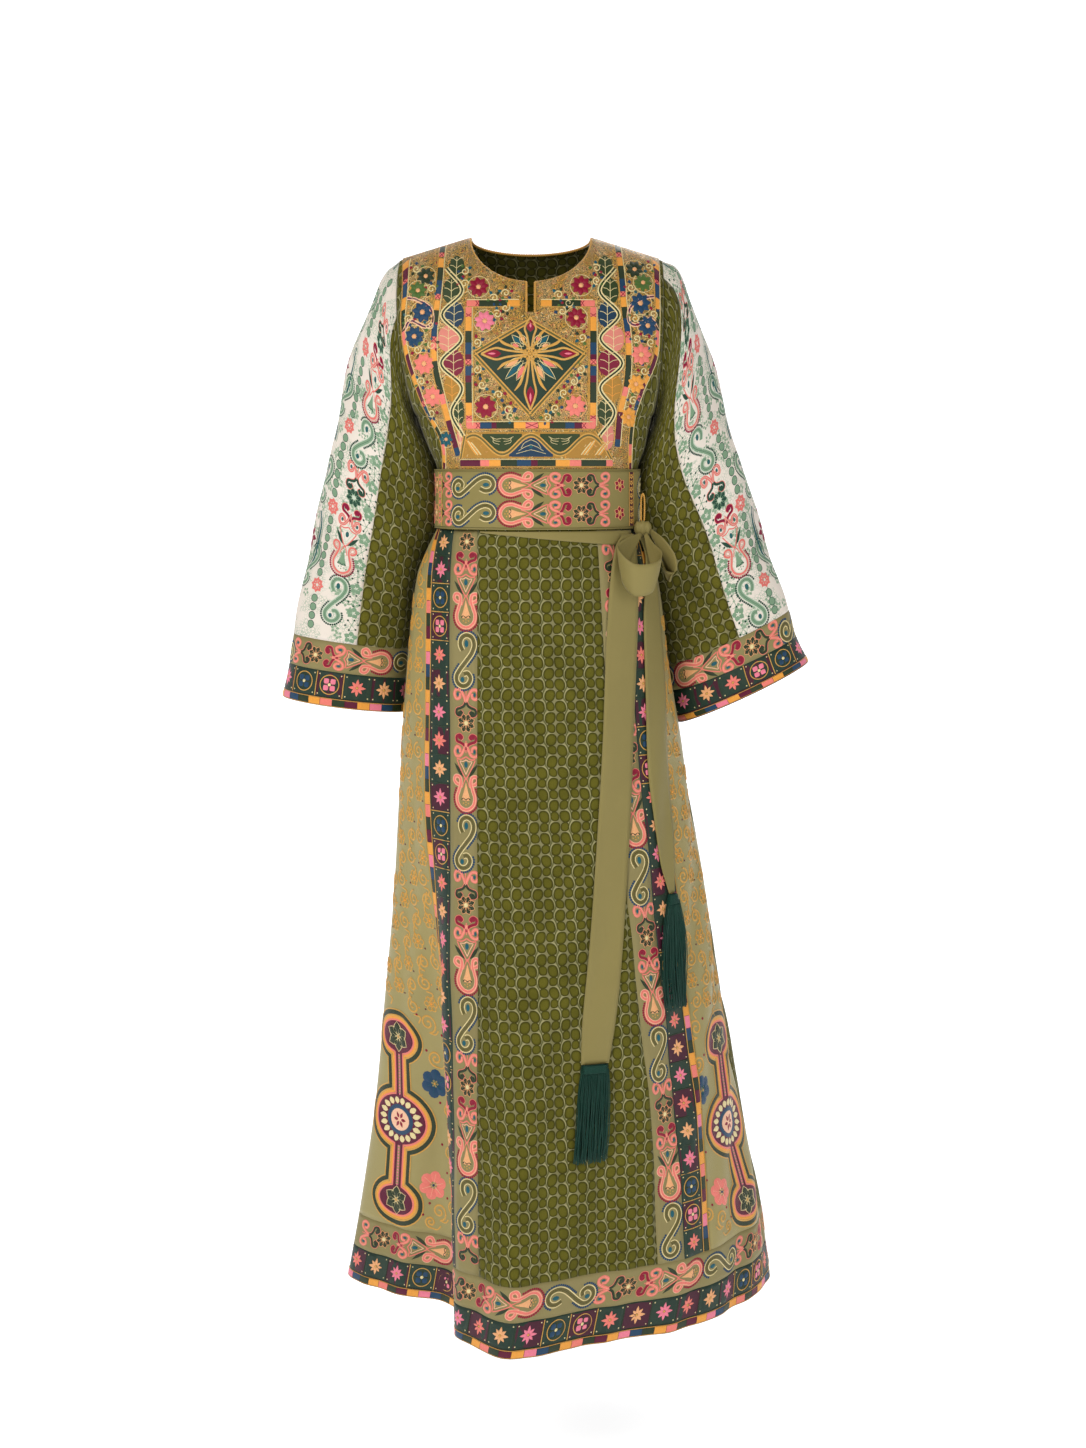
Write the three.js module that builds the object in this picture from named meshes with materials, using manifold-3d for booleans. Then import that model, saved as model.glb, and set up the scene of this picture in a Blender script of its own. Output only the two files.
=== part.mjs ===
import * as THREE from 'three';
import { mergeVertices } from 'three/addons/utils/BufferGeometryUtils.js';
import Module from 'manifold-3d';

// A long belted thobe, hanging in its hollow worn form, in millimetres.
// The origin is the centre of the neck at shoulder height, +Z is up and the front faces -Y.
// "Left" and "right" are as a viewer in front of the garment sees them.
// Every cloth piece is a thin closed wall: a grid of points on the garment's outer surface,
// and the same grid moved inwards by the thickness of the cloth.

const wasm = await Module();
wasm.setup();

// Driving dimensions
const CLOTH = 1.4;                 // lined cottons and velvet, as sewn
const RIBBON = 1.2;                // folded tie ribbon
const SEAM_GAP = 0.3;              // between two pieces at a seam
const BODY_Y = 2;                  // side seams and shoulder seams lie this far back
const WAIST_Z = -343;              // seam of bodice and skirt, at the belt's lower edge
const BELT_TOP = -268;
const BELT_BOTTOM = -342;
const CHEST_BOTTOM = -288;         // the chest panel runs under the belt
const UNDERARM_Z = -201;
const SHOULDER_END_Z = -10;
const NECK_Z = 16;                 // neck point, top of the shoulder seam
const NECK_HALF = 77;
const NECK_DROP_FRONT = 61;
const NECK_DROP_BACK = 16;
const SHOULDER_ROUND = 70;         // how far down the shoulder rolls over to the front
const SLIT_BOTTOM = -86;
const SLIT_HALF = 7;
const HEM_Z = -1345;
const STRIPE = 11;                 // striped binding
const STAR_BAND = 34;
const MOTIF_BAND = 38;
const HEM_MOTIF = 44;
const BINDING_WIDTH = 2.6;
const BINDING_GAP = 0.75;          // the binding stands this far off the raw edges it covers
const CHEST_LIFT = 0.4;            // the chest panel lies this far over the bodice
const VELVET_LEFT = -66;           // left edge of the skirt's centre panel, all the way down
const RIBBON_WIDTH = 43;

const HEM_STRIPE_TOP = HEM_Z + STRIPE;
const HEM_STAR_TOP = HEM_STRIPE_TOP + STAR_BAND;
const HEM_MOTIF_TOP = HEM_STAR_TOP + HEM_MOTIF;

// Bodice depth: y of the front and of the back, down the middle
const BODICE_DEPTH = [
  { z: 16, front: -56, back: 58 },
  { z: -20, front: -70, back: 74 },
  { z: -60, front: -90, back: 88 },
  { z: -100, front: -109, back: 95 },
  { z: -145, front: -120, back: 98 },
  { z: -190, front: -118, back: 95 },
  { z: -235, front: -107, back: 88 },
  { z: -275, front: -97, back: 82 },
  { z: -345, front: -94, back: 82 },
];

// Bodice side seam and the outer edge of the chest panel, x to each side
const BODICE_SIDE = [
  { z: -10, left: -163, right: 163, chestLeft: -159, chestRight: 159 },
  { z: -54, left: -163, right: 163, chestLeft: -157, chestRight: 158 },
  { z: -96, left: -163, right: 163, chestLeft: -158, chestRight: 157 },
  { z: -135, left: -158, right: 163, chestLeft: -152, chestRight: 154 },
  { z: -171, left: -152, right: 158, chestLeft: -140, chestRight: 139 },
  { z: -201, left: -146, right: 155, chestLeft: -128, chestRight: 129 },
  { z: -222, left: -139, right: 150, chestLeft: -116, chestRight: 126 },
  { z: -240, left: -131.5, right: 146, chestLeft: -110, chestRight: 125 },
  { z: -268, left: -119.5, right: 135.5, chestLeft: -109, chestRight: 125 },
  { z: -342, left: -119.5, right: 135.5, chestLeft: -109, chestRight: 125 },
];

// Skirt rings: silhouette, depth, the fold at the front left and the centre panel's right edge.
// fold is how far the deep fold has opened, flute how far the soft waves at the back have.
const SKIRT = [
  { z: -343, left: -119.5, right: 135.5, front: -94, back: 82, crest: -104, valley: -113, panel: 81, fold: 0, flute: 0 },
  { z: -370, left: -133, right: 150, front: -99, back: 93, crest: -104, valley: -127, panel: 83, fold: 0, flute: 0 },
  { z: -404, left: -146, right: 161, front: -105, back: 103, crest: -104, valley: -138, panel: 85, fold: 0, flute: 0 },
  { z: -500, left: -158, right: 175, front: -117, back: 126, crest: -104, valley: -149, panel: 91, fold: 0, flute: 0.1 },
  { z: -600, left: -166, right: 190, front: -128, back: 143, crest: -104, valley: -150, panel: 98, fold: 0.03, flute: 0.25 },
  { z: -700, left: -172, right: 205, front: -139, back: 157, crest: -104.5, valley: -144, panel: 107, fold: 0.1, flute: 0.4 },
  { z: -820, left: -180, right: 227, front: -152, back: 173, crest: -105, valley: -129, panel: 121, fold: 0.27, flute: 0.55 },
  { z: -960, left: -194, right: 250, front: -166, back: 190, crest: -104.5, valley: -112, panel: 137, fold: 0.53, flute: 0.7 },
  { z: -1100, left: -208, right: 274, front: -179, back: 207, crest: -101, valley: -104, panel: 152, fold: 0.76, flute: 0.85 },
  { z: -1240, left: -229, right: 303, front: -189, back: 222, crest: -96, valley: -100, panel: 159, fold: 0.92, flute: 0.96 },
  { z: -1345, left: -248, right: 320, front: -195, back: 232, crest: -92, valley: -97, panel: 163, fold: 1, flute: 1 },
];

// How far each point round the front is pushed back (+) or out (-) where the fold is fully open
const FOLD_PUSH = {
  sideLeftNear: 46, sideLeftFar: 74, valley: 78, crest: -7, panelLeft: -27,
  centreA: -46, centreB: -17, centreC: 3, panelRight: 5, rightA: 15, rightB: 24, rightC: 14,
};
const BACK_STATIONS = 11;
const FLUTE_DEPTH = 13;

// Sleeves: outer and inner line as seen from the front, half depth, middle in y, and how far
// the armhole bows outwards. Row 9 is the top of the cuff's motif band, 12 the cuff's edge.
const SLEEVE_LEFT = [
  { ox: -163, oz: -10, ix: -146.6, iz: -201, depth: 60, y: 2, bow: 8 },
  { ox: -184, oz: -29, ix: -146, iz: -211, depth: 60, y: 5, bow: 6 },
  { ox: -203, oz: -62, ix: -140, iz: -228, depth: 60, y: 9, bow: 3 },
  { ox: -221, oz: -112, ix: -130.5, iz: -254, depth: 58, y: 15, bow: 1 },
  { ox: -238, oz: -167, ix: -125.5, iz: -288, depth: 57, y: 22, bow: 0 },
  { ox: -252, oz: -225, ix: -127, iz: -328, depth: 56, y: 28, bow: 0 },
  { ox: -267, oz: -290, ix: -137, iz: -371, depth: 55, y: 34, bow: 0 },
  { ox: -284, oz: -358, ix: -149, iz: -418, depth: 54, y: 39, bow: 0 },
  { ox: -299, oz: -425, ix: -154, iz: -462, depth: 54, y: 43, bow: 0 },
  { ox: -310, oz: -480, ix: -158, iz: -500, depth: 55, y: 46, bow: 0 },
  { ox: -318, oz: -518, ix: -161, iz: -538, depth: 56, y: 48, bow: 0 },
  { ox: -324, oz: -552, ix: -163, iz: -572, depth: 57, y: 49, bow: 0 },
  { ox: -326, oz: -563, ix: -163.5, iz: -583, depth: 57, y: 49, bow: 0 },
];
const SLEEVE_RIGHT = [
  { ox: 163, oz: -10, ix: 155.6, iz: -201, depth: 60, y: 2, bow: 3 },
  { ox: 184, oz: -22, ix: 156, iz: -212, depth: 60, y: 5, bow: 2 },
  { ox: 202, oz: -56, ix: 151.5, iz: -230, depth: 60, y: 9, bow: 1 },
  { ox: 222, oz: -116, ix: 144, iz: -262, depth: 58, y: 15, bow: 0 },
  { ox: 241, oz: -173, ix: 142, iz: -300, depth: 57, y: 22, bow: 0 },
  { ox: 260, oz: -233, ix: 146, iz: -345, depth: 56, y: 29, bow: 0 },
  { ox: 280, oz: -293, ix: 158, iz: -392, depth: 55, y: 35, bow: 0 },
  { ox: 301, oz: -354, ix: 168, iz: -438, depth: 54, y: 40, bow: 0 },
  { ox: 321, oz: -412, ix: 176, iz: -482, depth: 54, y: 44, bow: 0 },
  { ox: 335, oz: -450, ix: 182, iz: -522, depth: 55, y: 47, bow: 0 },
  { ox: 347, oz: -483, ix: 187, iz: -556, depth: 56, y: 49, bow: 0 },
  { ox: 358, oz: -509, ix: 191, iz: -588, depth: 57, y: 50, bow: 0 },
  { ox: 362, oz: -518, ix: 193, iz: -598, depth: 57, y: 50, bow: 0 },
];
// Edge of the printed panel round the sleeve, in degrees from its outer line
const PRINT_EDGE_LEFT = [
  { row: 0, angle: 76 }, { row: 1.5, angle: 90 }, { row: 2.5, angle: 94 }, { row: 4, angle: 92 },
  { row: 5, angle: 90.5 }, { row: 7, angle: 96 }, { row: 9, angle: 98 },
];
const PRINT_EDGE_RIGHT = [
  { row: 0, angle: 42 }, { row: 1.3, angle: 53 }, { row: 2, angle: 74 }, { row: 2.7, angle: 93 },
  { row: 3.5, angle: 100 }, { row: 4.4, angle: 99 }, { row: 5.2, angle: 94 }, { row: 6.2, angle: 89 },
  { row: 7.2, angle: 88 }, { row: 9, angle: 84 },
];

// Middle line of each tie tail: x down the skirt, how far it stands off, and its width
const TAIL_LEFT = [
  { z: -351, x: 117, lift: 5, width: 22 },
  { z: -364, x: 115.5, lift: 4.5, width: 34 },
  { z: -400, x: 114.5, lift: 2.4, width: 41 },
  { z: -460, x: 113, lift: 1.1, width: RIBBON_WIDTH },
  { z: -600, x: 107.5, lift: 1, width: RIBBON_WIDTH },
  { z: -800, x: 96, lift: 1, width: RIBBON_WIDTH },
  { z: -940, x: 84, lift: 1, width: 41 },
  { z: -995, x: 79, lift: 1.1, width: 35 },
];
const TAIL_RIGHT = [
  { z: -352, x: 135, lift: 2.6, width: 14 },
  { z: -380, x: 147, lift: 2.2, width: 26 },
  { z: -455, x: 151.5, lift: 1.1, width: 38 },
  { z: -600, x: 158.5, lift: 0.9, width: 40 },
  { z: -700, x: 164, lift: 1.1, width: 37 },
  { z: -752, x: 169, lift: 1.5, width: 28 },
  { z: -797, x: 175, lift: 2, width: 10 },
];
const TASSEL_STRANDS = 10;         // across, in each of two layers
const STRAND_RADIUS = 1.05;
const TASSEL_LEFT_BOTTOM = -1116;
const TASSEL_RIGHT_BOTTOM = -942;

const KNOT = new THREE.Vector3(140, -36.2, -341.5);

// Small helpers

function smoothColumn(rows, key, name, x) {
  const sign = rows[0][key] > rows[rows.length - 1][key] ? -1 : 1;
  const at = sign * x;
  let i = 0;
  while (i < rows.length - 2 && at > sign * rows[i + 1][key]) i += 1;
  const place = (j) => sign * rows[Math.min(Math.max(j, 0), rows.length - 1)][key];
  const value = (j) => rows[Math.min(Math.max(j, 0), rows.length - 1)][name];
  const span = place(i + 1) - place(i);
  const slope = (j) => {
    const run = place(j + 1) - place(j - 1);
    return run === 0 ? 0 : (value(j + 1) - value(j - 1)) / run;
  };
  const t = Math.min(Math.max((at - place(i)) / span, 0), 1);
  const t2 = t * t;
  const t3 = t2 * t;
  return (2 * t3 - 3 * t2 + 1) * value(i) + (t3 - 2 * t2 + t) * span * slope(i)
    + (3 * t2 - 2 * t3) * value(i + 1) + (t3 - t2) * span * slope(i + 1);
}

const mix = (a, b, t) => a + (b - a) * t;
const cap = (q) => Math.sqrt(Math.max(0, 1 - q * q));
const spread = (from, to, cells) => Array.from({ length: cells + 1 }, (_, i) => mix(from, to, i / cells));

// Skirt: a closed ring at each height, measured along the cloth

function ringControls(z) {
  const row = (name) => smoothColumn(SKIRT, 'z', name, z);
  const left = row('left');
  const right = row('right');
  const middleX = (left + right) / 2;
  const half = (right - left) / 2;
  const middleY = mix(BODY_Y, 10, (WAIST_Z - z) / (WAIST_Z - HEM_Z));
  const frontDepth = middleY - row('front');
  const backDepth = row('back') - middleY;
  const fold = row('fold');
  const angleOf = (x) => Math.asin(Math.min(Math.max((x - middleX) / half, -0.999), 0.999));
  const front = (angle, push) => new THREE.Vector3(
    middleX + half * Math.sin(angle), middleY - frontDepth * Math.cos(angle) + push * fold, z);
  const valley = angleOf(row('valley'));
  const panelLeft = angleOf(VELVET_LEFT);
  const panelRight = angleOf(row('panel'));
  const side = Math.PI / 2;
  const points = [
    front(-side, 0),
    front(mix(valley, -side, 0.67), FOLD_PUSH.sideLeftNear),
    front(mix(valley, -side, 0.33), FOLD_PUSH.sideLeftFar),
    front(valley, FOLD_PUSH.valley),
    front(angleOf(row('crest')), FOLD_PUSH.crest),
    front(panelLeft, FOLD_PUSH.panelLeft),
    front(mix(panelLeft, panelRight, 0.2), FOLD_PUSH.centreA),
    front(mix(panelLeft, panelRight, 0.47), FOLD_PUSH.centreB),
    front(mix(panelLeft, panelRight, 0.7), FOLD_PUSH.centreC),
    front(panelRight, FOLD_PUSH.panelRight),
    front(mix(panelRight, side, 0.3), FOLD_PUSH.rightA),
    front(mix(panelRight, side, 0.55), FOLD_PUSH.rightB),
    front(mix(panelRight, side, 0.8), FOLD_PUSH.rightC),
    front(side, 0),
  ];
  const flute = FLUTE_DEPTH * row('flute');
  for (let i = 1; i < BACK_STATIONS; i += 1) {
    const angle = side + Math.PI * i / BACK_STATIONS;
    const grow = i % 2 ? flute : -flute;
    points.push(new THREE.Vector3(
      middleX + (half + grow) * Math.sin(angle), middleY - (backDepth + grow) * Math.cos(angle), z));
  }
  return points;
}

const FRONT_CONTROLS = 14;
const RING_STEPS = 10;
const ringCache = new Map();

function ring(z) {
  if (ringCache.has(z)) return ringCache.get(z);
  const controls = ringControls(z);
  const curve = new THREE.CatmullRomCurve3(controls, true, 'centripetal');
  const count = controls.length * RING_STEPS;
  const points = [];
  const arcs = [0];
  for (let i = 0; i <= count; i += 1) {
    points.push(curve.getPoint(i / count));
    if (i > 0) arcs.push(arcs[i - 1] + points[i].distanceTo(points[i - 1]));
  }
  const arcOf = (control) => arcs[control * RING_STEPS];
  const panelLeft = arcOf(5);
  const panelRight = arcOf(9);
  const edges = [MOTIF_BAND, MOTIF_BAND + STAR_BAND, MOTIF_BAND + STAR_BAND + STRIPE];
  const total = arcs[count];
  const sideRight = arcOf(FRONT_CONTROLS - 1);
  const seams = [
    0, panelLeft - edges[2], panelLeft - edges[1], panelLeft - edges[0], panelLeft,
    panelRight, panelRight + edges[0], panelRight + edges[1], panelRight + edges[2],
    sideRight, (sideRight + total) / 2, total,
  ];
  const result = { points, arcs, seams, total };
  ringCache.set(z, result);
  return result;
}

function pointAtArc(z, arc) {
  const { points, arcs, total } = ring(z);
  const s = ((arc % total) + total) % total;
  let low = 0;
  let high = arcs.length - 1;
  while (high - low > 1) {
    const middle = (low + high) >> 1;
    if (arcs[middle] > s) high = middle;
    else low = middle;
  }
  const t = (s - arcs[low]) / (arcs[high] - arcs[low]);
  return points[low].clone().lerp(points[high], t);
}

// Seam numbers round the skirt, for the first argument of skirtPoint
const SEAM = {
  sideLeft: 0, stripeLeft: 1, starLeft: 2, motifLeft: 3, panelLeft: 4,
  panelRight: 5, motifRight: 6, starRight: 7, stripeRight: 8, sideRight: 9, backMiddle: 10, end: 11,
};

function skirtPoint(seam, z) {
  const { seams, total } = ring(z);
  const turns = Math.floor(seam / SEAM.end);
  const place = seam - turns * SEAM.end;
  const i = Math.min(Math.floor(place), SEAM.end - 1);
  return pointAtArc(z, mix(seams[i], seams[i + 1], place - i) + turns * total);
}

function arcAtX(z, x) {
  const { points, arcs } = ring(z);
  const from = 5 * RING_STEPS;
  const to = (FRONT_CONTROLS - 1) * RING_STEPS;
  for (let i = from; i < to; i += 1) {
    if (points[i + 1].x >= x) {
      return mix(arcs[i], arcs[i + 1], (x - points[i].x) / (points[i + 1].x - points[i].x));
    }
  }
  return arcs[to];
}

// Sleeves

function sleevePoint(rows, angle, row) {
  const indexed = rows.map((entry, i) => ({ ...entry, i }));
  const at = (name) => smoothColumn(indexed, 'i', name, row);
  const side = Math.sign(rows[0].ox);
  const c = Math.cos(angle);
  const s = Math.sin(angle);
  const middleX = (at('ox') + at('ix')) / 2;
  const middleZ = (at('oz') + at('iz')) / 2;
  return new THREE.Vector3(
    middleX + (at('ox') - middleX) * c + side * at('bow') * s * s,
    at('y') - at('depth') * s,
    middleZ + (at('oz') - middleZ) * c);
}

// Bodice: across from side to side (-1 to 1), up from the waist (0) to the shoulder seam (1)

const UNDERARM_V = 0.42;
const CHEST_EDGE = 0.86;

function bodiceEdge(side, back, v) {
  const rows = side < 0 ? SLEEVE_LEFT : SLEEVE_RIGHT;
  const name = side < 0 ? 'left' : 'right';
  if (v < UNDERARM_V) {
    const z = mix(WAIST_Z, UNDERARM_Z, v / UNDERARM_V);
    return new THREE.Vector3(smoothColumn(BODICE_SIDE, 'z', name, z), BODY_Y, z);
  }
  const turn = Math.PI * (1 - (v - UNDERARM_V) / (1 - UNDERARM_V));
  return sleevePoint(rows, back ? -turn : turn, 0);
}

function shoulderLine(x) {
  const beyond = Math.max(0, Math.abs(x) - NECK_HALF);
  return NECK_Z - beyond * (NECK_Z - SHOULDER_END_Z) / (163 - NECK_HALF);
}

function bodicePoint(across, v, back) {
  const side = across < 0 ? -1 : 1;
  const size = Math.min(Math.abs(across), 1);
  const edge = bodiceEdge(side, back, v);
  const top = bodiceEdge(side, back, 1);
  const chestName = side < 0 ? 'chestLeft' : 'chestRight';
  const widthAt = (place) => {
    const chest = Math.min(Math.abs(smoothColumn(BODICE_SIDE, 'z', chestName, place.z)), Math.abs(place.x) - 1.5);
    const outside = mix(chest, Math.abs(place.x), (size - CHEST_EDGE) / (1 - CHEST_EDGE));
    return size <= CHEST_EDGE ? chest * size / CHEST_EDGE : outside;
  };
  const topX = widthAt(top);
  const drop = back ? NECK_DROP_BACK : NECK_DROP_FRONT;
  const neck = topX < NECK_HALF - 0.01 ? NECK_Z - drop * cap(topX / NECK_HALF) : shoulderLine(topX);
  // Rows are level up to the underarm, and from there rise to the neckline and shoulder
  const rise = Math.max(0, (edge.z - UNDERARM_Z) / (top.z - UNDERARM_Z));
  const z = v < UNDERARM_V ? edge.z : mix(UNDERARM_Z, neck, rise);
  const x = mix(widthAt(edge), topX, Math.max(0, v - 0.9) * 10);
  const roll = Math.min(1, Math.max(0, (shoulderLine(x) - z) / SHOULDER_ROUND));
  const depth = (smoothColumn(BODICE_DEPTH, 'z', back ? 'back' : 'front', z) - BODY_Y) * cap(1 - roll);
  const fromEdge = edge.y - BODY_Y;
  const y = fromEdge + (depth - fromEdge) * cap(Math.min(1, x / Math.abs(edge.x)));
  return new THREE.Vector3(side * x, BODY_Y + y, z);
}

// Walls

const STEP = 1e-3;

function outOf(surface, a, v, turned) {
  const across = surface(a + STEP, v).sub(surface(a - STEP, v));
  const up = surface(a, v + STEP).sub(surface(a, v - STEP));
  const out = across.cross(up).normalize();
  return turned ? out.negate() : out;
}

function gridOf(surface, columns, rows, { closed = false, turned = false, gap = true } = {}) {
  const points = [];
  const normals = [];
  for (const v of rows) {
    const line = [];
    const outs = [];
    for (const a of columns) {
      line.push(surface(a, v));
      outs.push(outOf(surface, a, v, turned));
    }
    points.push(line);
    normals.push(outs);
  }
  if (gap) openSeams(points, closed);
  return { points, normals, closed };
}

// Draws the outer edges of a grid back by half a seam gap
function openSeams(points, closed) {
  const half = SEAM_GAP / 2;
  const pull = (edge, inner) => edge.add(inner.clone().sub(edge).setLength(half));
  const last = points.length - 1;
  if (!closed) {
    for (const line of points) {
      pull(line[0], line[1]);
      pull(line[line.length - 1], line[line.length - 2]);
    }
  }
  points[0].forEach((p, i) => pull(p, points[1][i]));
  points[last].forEach((p, i) => pull(p, points[last - 1][i]));
}

function wall({ points, normals, closed }, { lift = 0, thick = CLOTH, keep = () => true } = {}) {
  const rows = points.length;
  const columns = points[0].length;
  const outer = [];
  const inner = [];
  for (let j = 0; j < rows; j += 1) {
    for (let i = 0; i < columns; i += 1) {
      const raise = typeof lift === 'function' ? lift(i, j) : lift;
      outer.push(points[j][i].clone().addScaledVector(normals[j][i], raise + thick));
      inner.push(points[j][i].clone().addScaledVector(normals[j][i], raise));
    }
  }
  const faces = [];
  const cells = closed ? columns : columns - 1;
  for (let j = 0; j < rows - 1; j += 1) {
    for (let i = 0; i < cells; i += 1) {
      if (!keep(i, j)) continue;
      const next = (i + 1) % columns;
      const a = j * columns + i;
      const b = j * columns + next;
      const c = (j + 1) * columns + next;
      const d = (j + 1) * columns + i;
      faces.push([a, b, c], [a, c, d]);
    }
  }
  return closeWall(outer, inner, faces);
}

// Joins an outer and an inner sheet of the same faces along their free edges
function closeWall(outer, inner, faces) {
  const offset = outer.length;
  const edges = new Set();
  for (const [a, b, c] of faces) {
    edges.add(`${a},${b}`);
    edges.add(`${b},${c}`);
    edges.add(`${c},${a}`);
  }
  const triangles = [];
  for (const [a, b, c] of faces) {
    triangles.push([a, b, c], [a + offset, c + offset, b + offset]);
  }
  for (const edge of edges) {
    const [a, b] = edge.split(',').map(Number);
    if (edges.has(`${b},${a}`)) continue;
    // Two pieces at one seam split its side faces along the same diagonal
    if (outer[a].z > outer[b].z) triangles.push([b, a, a + offset], [b, a + offset, b + offset]);
    else triangles.push([b, a, b + offset], [a, a + offset, b + offset]);
  }
  return solidFrom([...outer, ...inner], triangles);
}

function solidFrom(vertices, triangles) {
  let volume = 0;
  for (const [a, b, c] of triangles) {
    volume += vertices[a].dot(vertices[b].clone().cross(vertices[c]));
  }
  const used = new Map();
  const position = [];
  const index = [];
  for (const [a, b, c] of triangles) {
    for (const corner of volume < 0 ? [a, c, b] : [a, b, c]) {
      if (!used.has(corner)) {
        used.set(corner, used.size);
        position.push(vertices[corner].x, vertices[corner].y, vertices[corner].z);
      }
      index.push(used.get(corner));
    }
  }
  const geometry = new THREE.BufferGeometry();
  geometry.setAttribute('position', new THREE.Float32BufferAttribute(position, 3));
  geometry.setIndex(index);
  return geometry;
}

// A ribbon that leaves the skirt: a strip swept along points, wide along its own direction
function ribbon(middle, wide, cells) {
  const path = new THREE.CatmullRomCurve3(middle, false, 'centripetal');
  const reach = new THREE.CatmullRomCurve3(wide, false, 'centripetal');
  const count = middle.length - 1;
  const at = (side, t) => {
    const place = Math.min(Math.max(t, 0), count) / count;
    return path.getPoint(place).addScaledVector(reach.getPoint(place), side);
  };
  return gridOf(at, [-1, 0, 1], spread(0, count, cells), { gap: false });
}

function tube(points, radius, sides, cells) {
  const shape = new THREE.Shape();
  for (let i = 0; i < sides; i += 1) {
    const angle = 2 * Math.PI * i / sides;
    const go = i === 0 ? 'moveTo' : 'lineTo';
    shape[go](radius * Math.cos(angle), radius * Math.sin(angle));
  }
  shape.closePath();
  const path = new THREE.CatmullRomCurve3(points, false, 'centripetal');
  return new THREE.ExtrudeGeometry(shape, { steps: cells, extrudePath: path, curveSegments: 1 });
}

const group = new THREE.Group();

function addPiece(name, geometry, color, roughness = 0.85) {
  const material = new THREE.MeshStandardMaterial({ color, roughness, metalness: 0 });
  const mesh = new THREE.Mesh(geometry, material);
  mesh.name = name;
  group.add(mesh);
}

// Colours of the cloths
const VELVET = 0x6a6a22;
const KHAKI = 0x958852;
const PLAIN_GROUND = 0x9a8f68;
const DARK_BAND = 0x1f4038;
const GOLD = 0xd9a85a;
const MAROON = 0x6e1030;
const PRINT = 0xf0e8e4;
const TEAL = 0x1e5144;

// Bodice

const neckShare = (share) => share * CHEST_EDGE * NECK_HALF / 159;
const degrees = Math.PI / 180;
const neckColumns = [80, 65, 45, 22].map((angle) => neckShare(Math.sin(angle * degrees)));
const slitColumn = neckShare(SLIT_HALF / NECK_HALF);
const halfFront = [1, 0.97, CHEST_EDGE, 0.74, 0.61, 0.5, neckShare(1), ...neckColumns, slitColumn];
const frontColumns = [...halfFront.map((a) => -a), ...halfFront.slice().reverse()];
const halfBack = [1, 0.97, 0.88, 0.74, 0.58, neckShare(1)];
const backNeck = [-75, -52, -20, 20, 52, 75].map((angle) => neckShare(Math.sin(angle * degrees)));
const backColumns = [...halfBack.map((a) => -a), ...backNeck, ...halfBack.slice().reverse()];

const bodiceV = (z) => UNDERARM_V * (z - WAIST_Z) / (UNDERARM_Z - WAIST_Z);
const SLIT_V = 0.812;
const upperRows = [0.33, UNDERARM_V, 0.47, 0.56, 0.65, 0.735, SLIT_V, 0.875, 0.935, 0.978, 1];
const beltRows = [bodiceV(BELT_BOTTOM), bodiceV(-305), bodiceV(BELT_TOP)];
const frontRows = [0, bodiceV(CHEST_BOTTOM), bodiceV(BELT_TOP), ...upperRows];
const slitTop = frontRows.indexOf(SLIT_V);
const slitCell = halfFront.length - 1;

const frontSurface = (a, v) => bodicePoint(a, Math.min(v, 1), false);
const backSurface = (a, v) => bodicePoint(a, Math.min(v, 1), true);

// Which way the cloth faces at the neckline, where it lies on the shoulders and the chest
function neckOut({ x, y }) {
  const side = Math.min(1, (x / NECK_HALF) ** 2);
  return new THREE.Vector3(0.3 * x / NECK_HALF, (y < BODY_Y ? -0.75 : 0.45) * (1 - side), mix(0.7, 0.95, side)).normalize();
}

function layNeckline(grid, rows) {
  rows.forEach((v, j) => grid.points[j].forEach((p, i) => {
    if (v > 0.9 && Math.abs(p.x) <= NECK_HALF + 0.5) {
      grid.normals[j][i].lerp(neckOut(p), (v - 0.88) / 0.12).normalize();
    }
  }));
  return grid;
}

const frontGrid = layNeckline(gridOf(frontSurface, frontColumns, frontRows), frontRows);
addPiece('bodice_front', wall(frontGrid, {
  lift: -CLOTH,
  keep: (i, j) => !(i === slitCell && j >= slitTop),
}), VELVET);

const backRows = [0, bodiceV(-305), bodiceV(BELT_TOP), UNDERARM_V, 0.49, 0.6, 0.71, 0.82, 0.9, 0.96, 1];
const backGrid = layNeckline(gridOf(backSurface, backColumns, backRows, { turned: true }), backRows);
addPiece('bodice_back', wall(backGrid, { lift: -CLOTH }), VELVET);

const chestFirst = halfFront.indexOf(CHEST_EDGE);
const chestColumns = frontColumns.slice(chestFirst, frontColumns.length - chestFirst);
const chestRows = frontRows.slice(1);
const chestGrid = layNeckline(gridOf(frontSurface, chestColumns, chestRows), chestRows);
addPiece('chest_panel', wall(chestGrid, {
  lift: CHEST_LIFT,
  thick: RIBBON,
  keep: (i, j) => !(i === slitCell - chestFirst && j >= slitTop - 1),
}), GOLD);

// Binding of the neckline and of both edges of the slit, one strip laid against the cloth's edge

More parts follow.
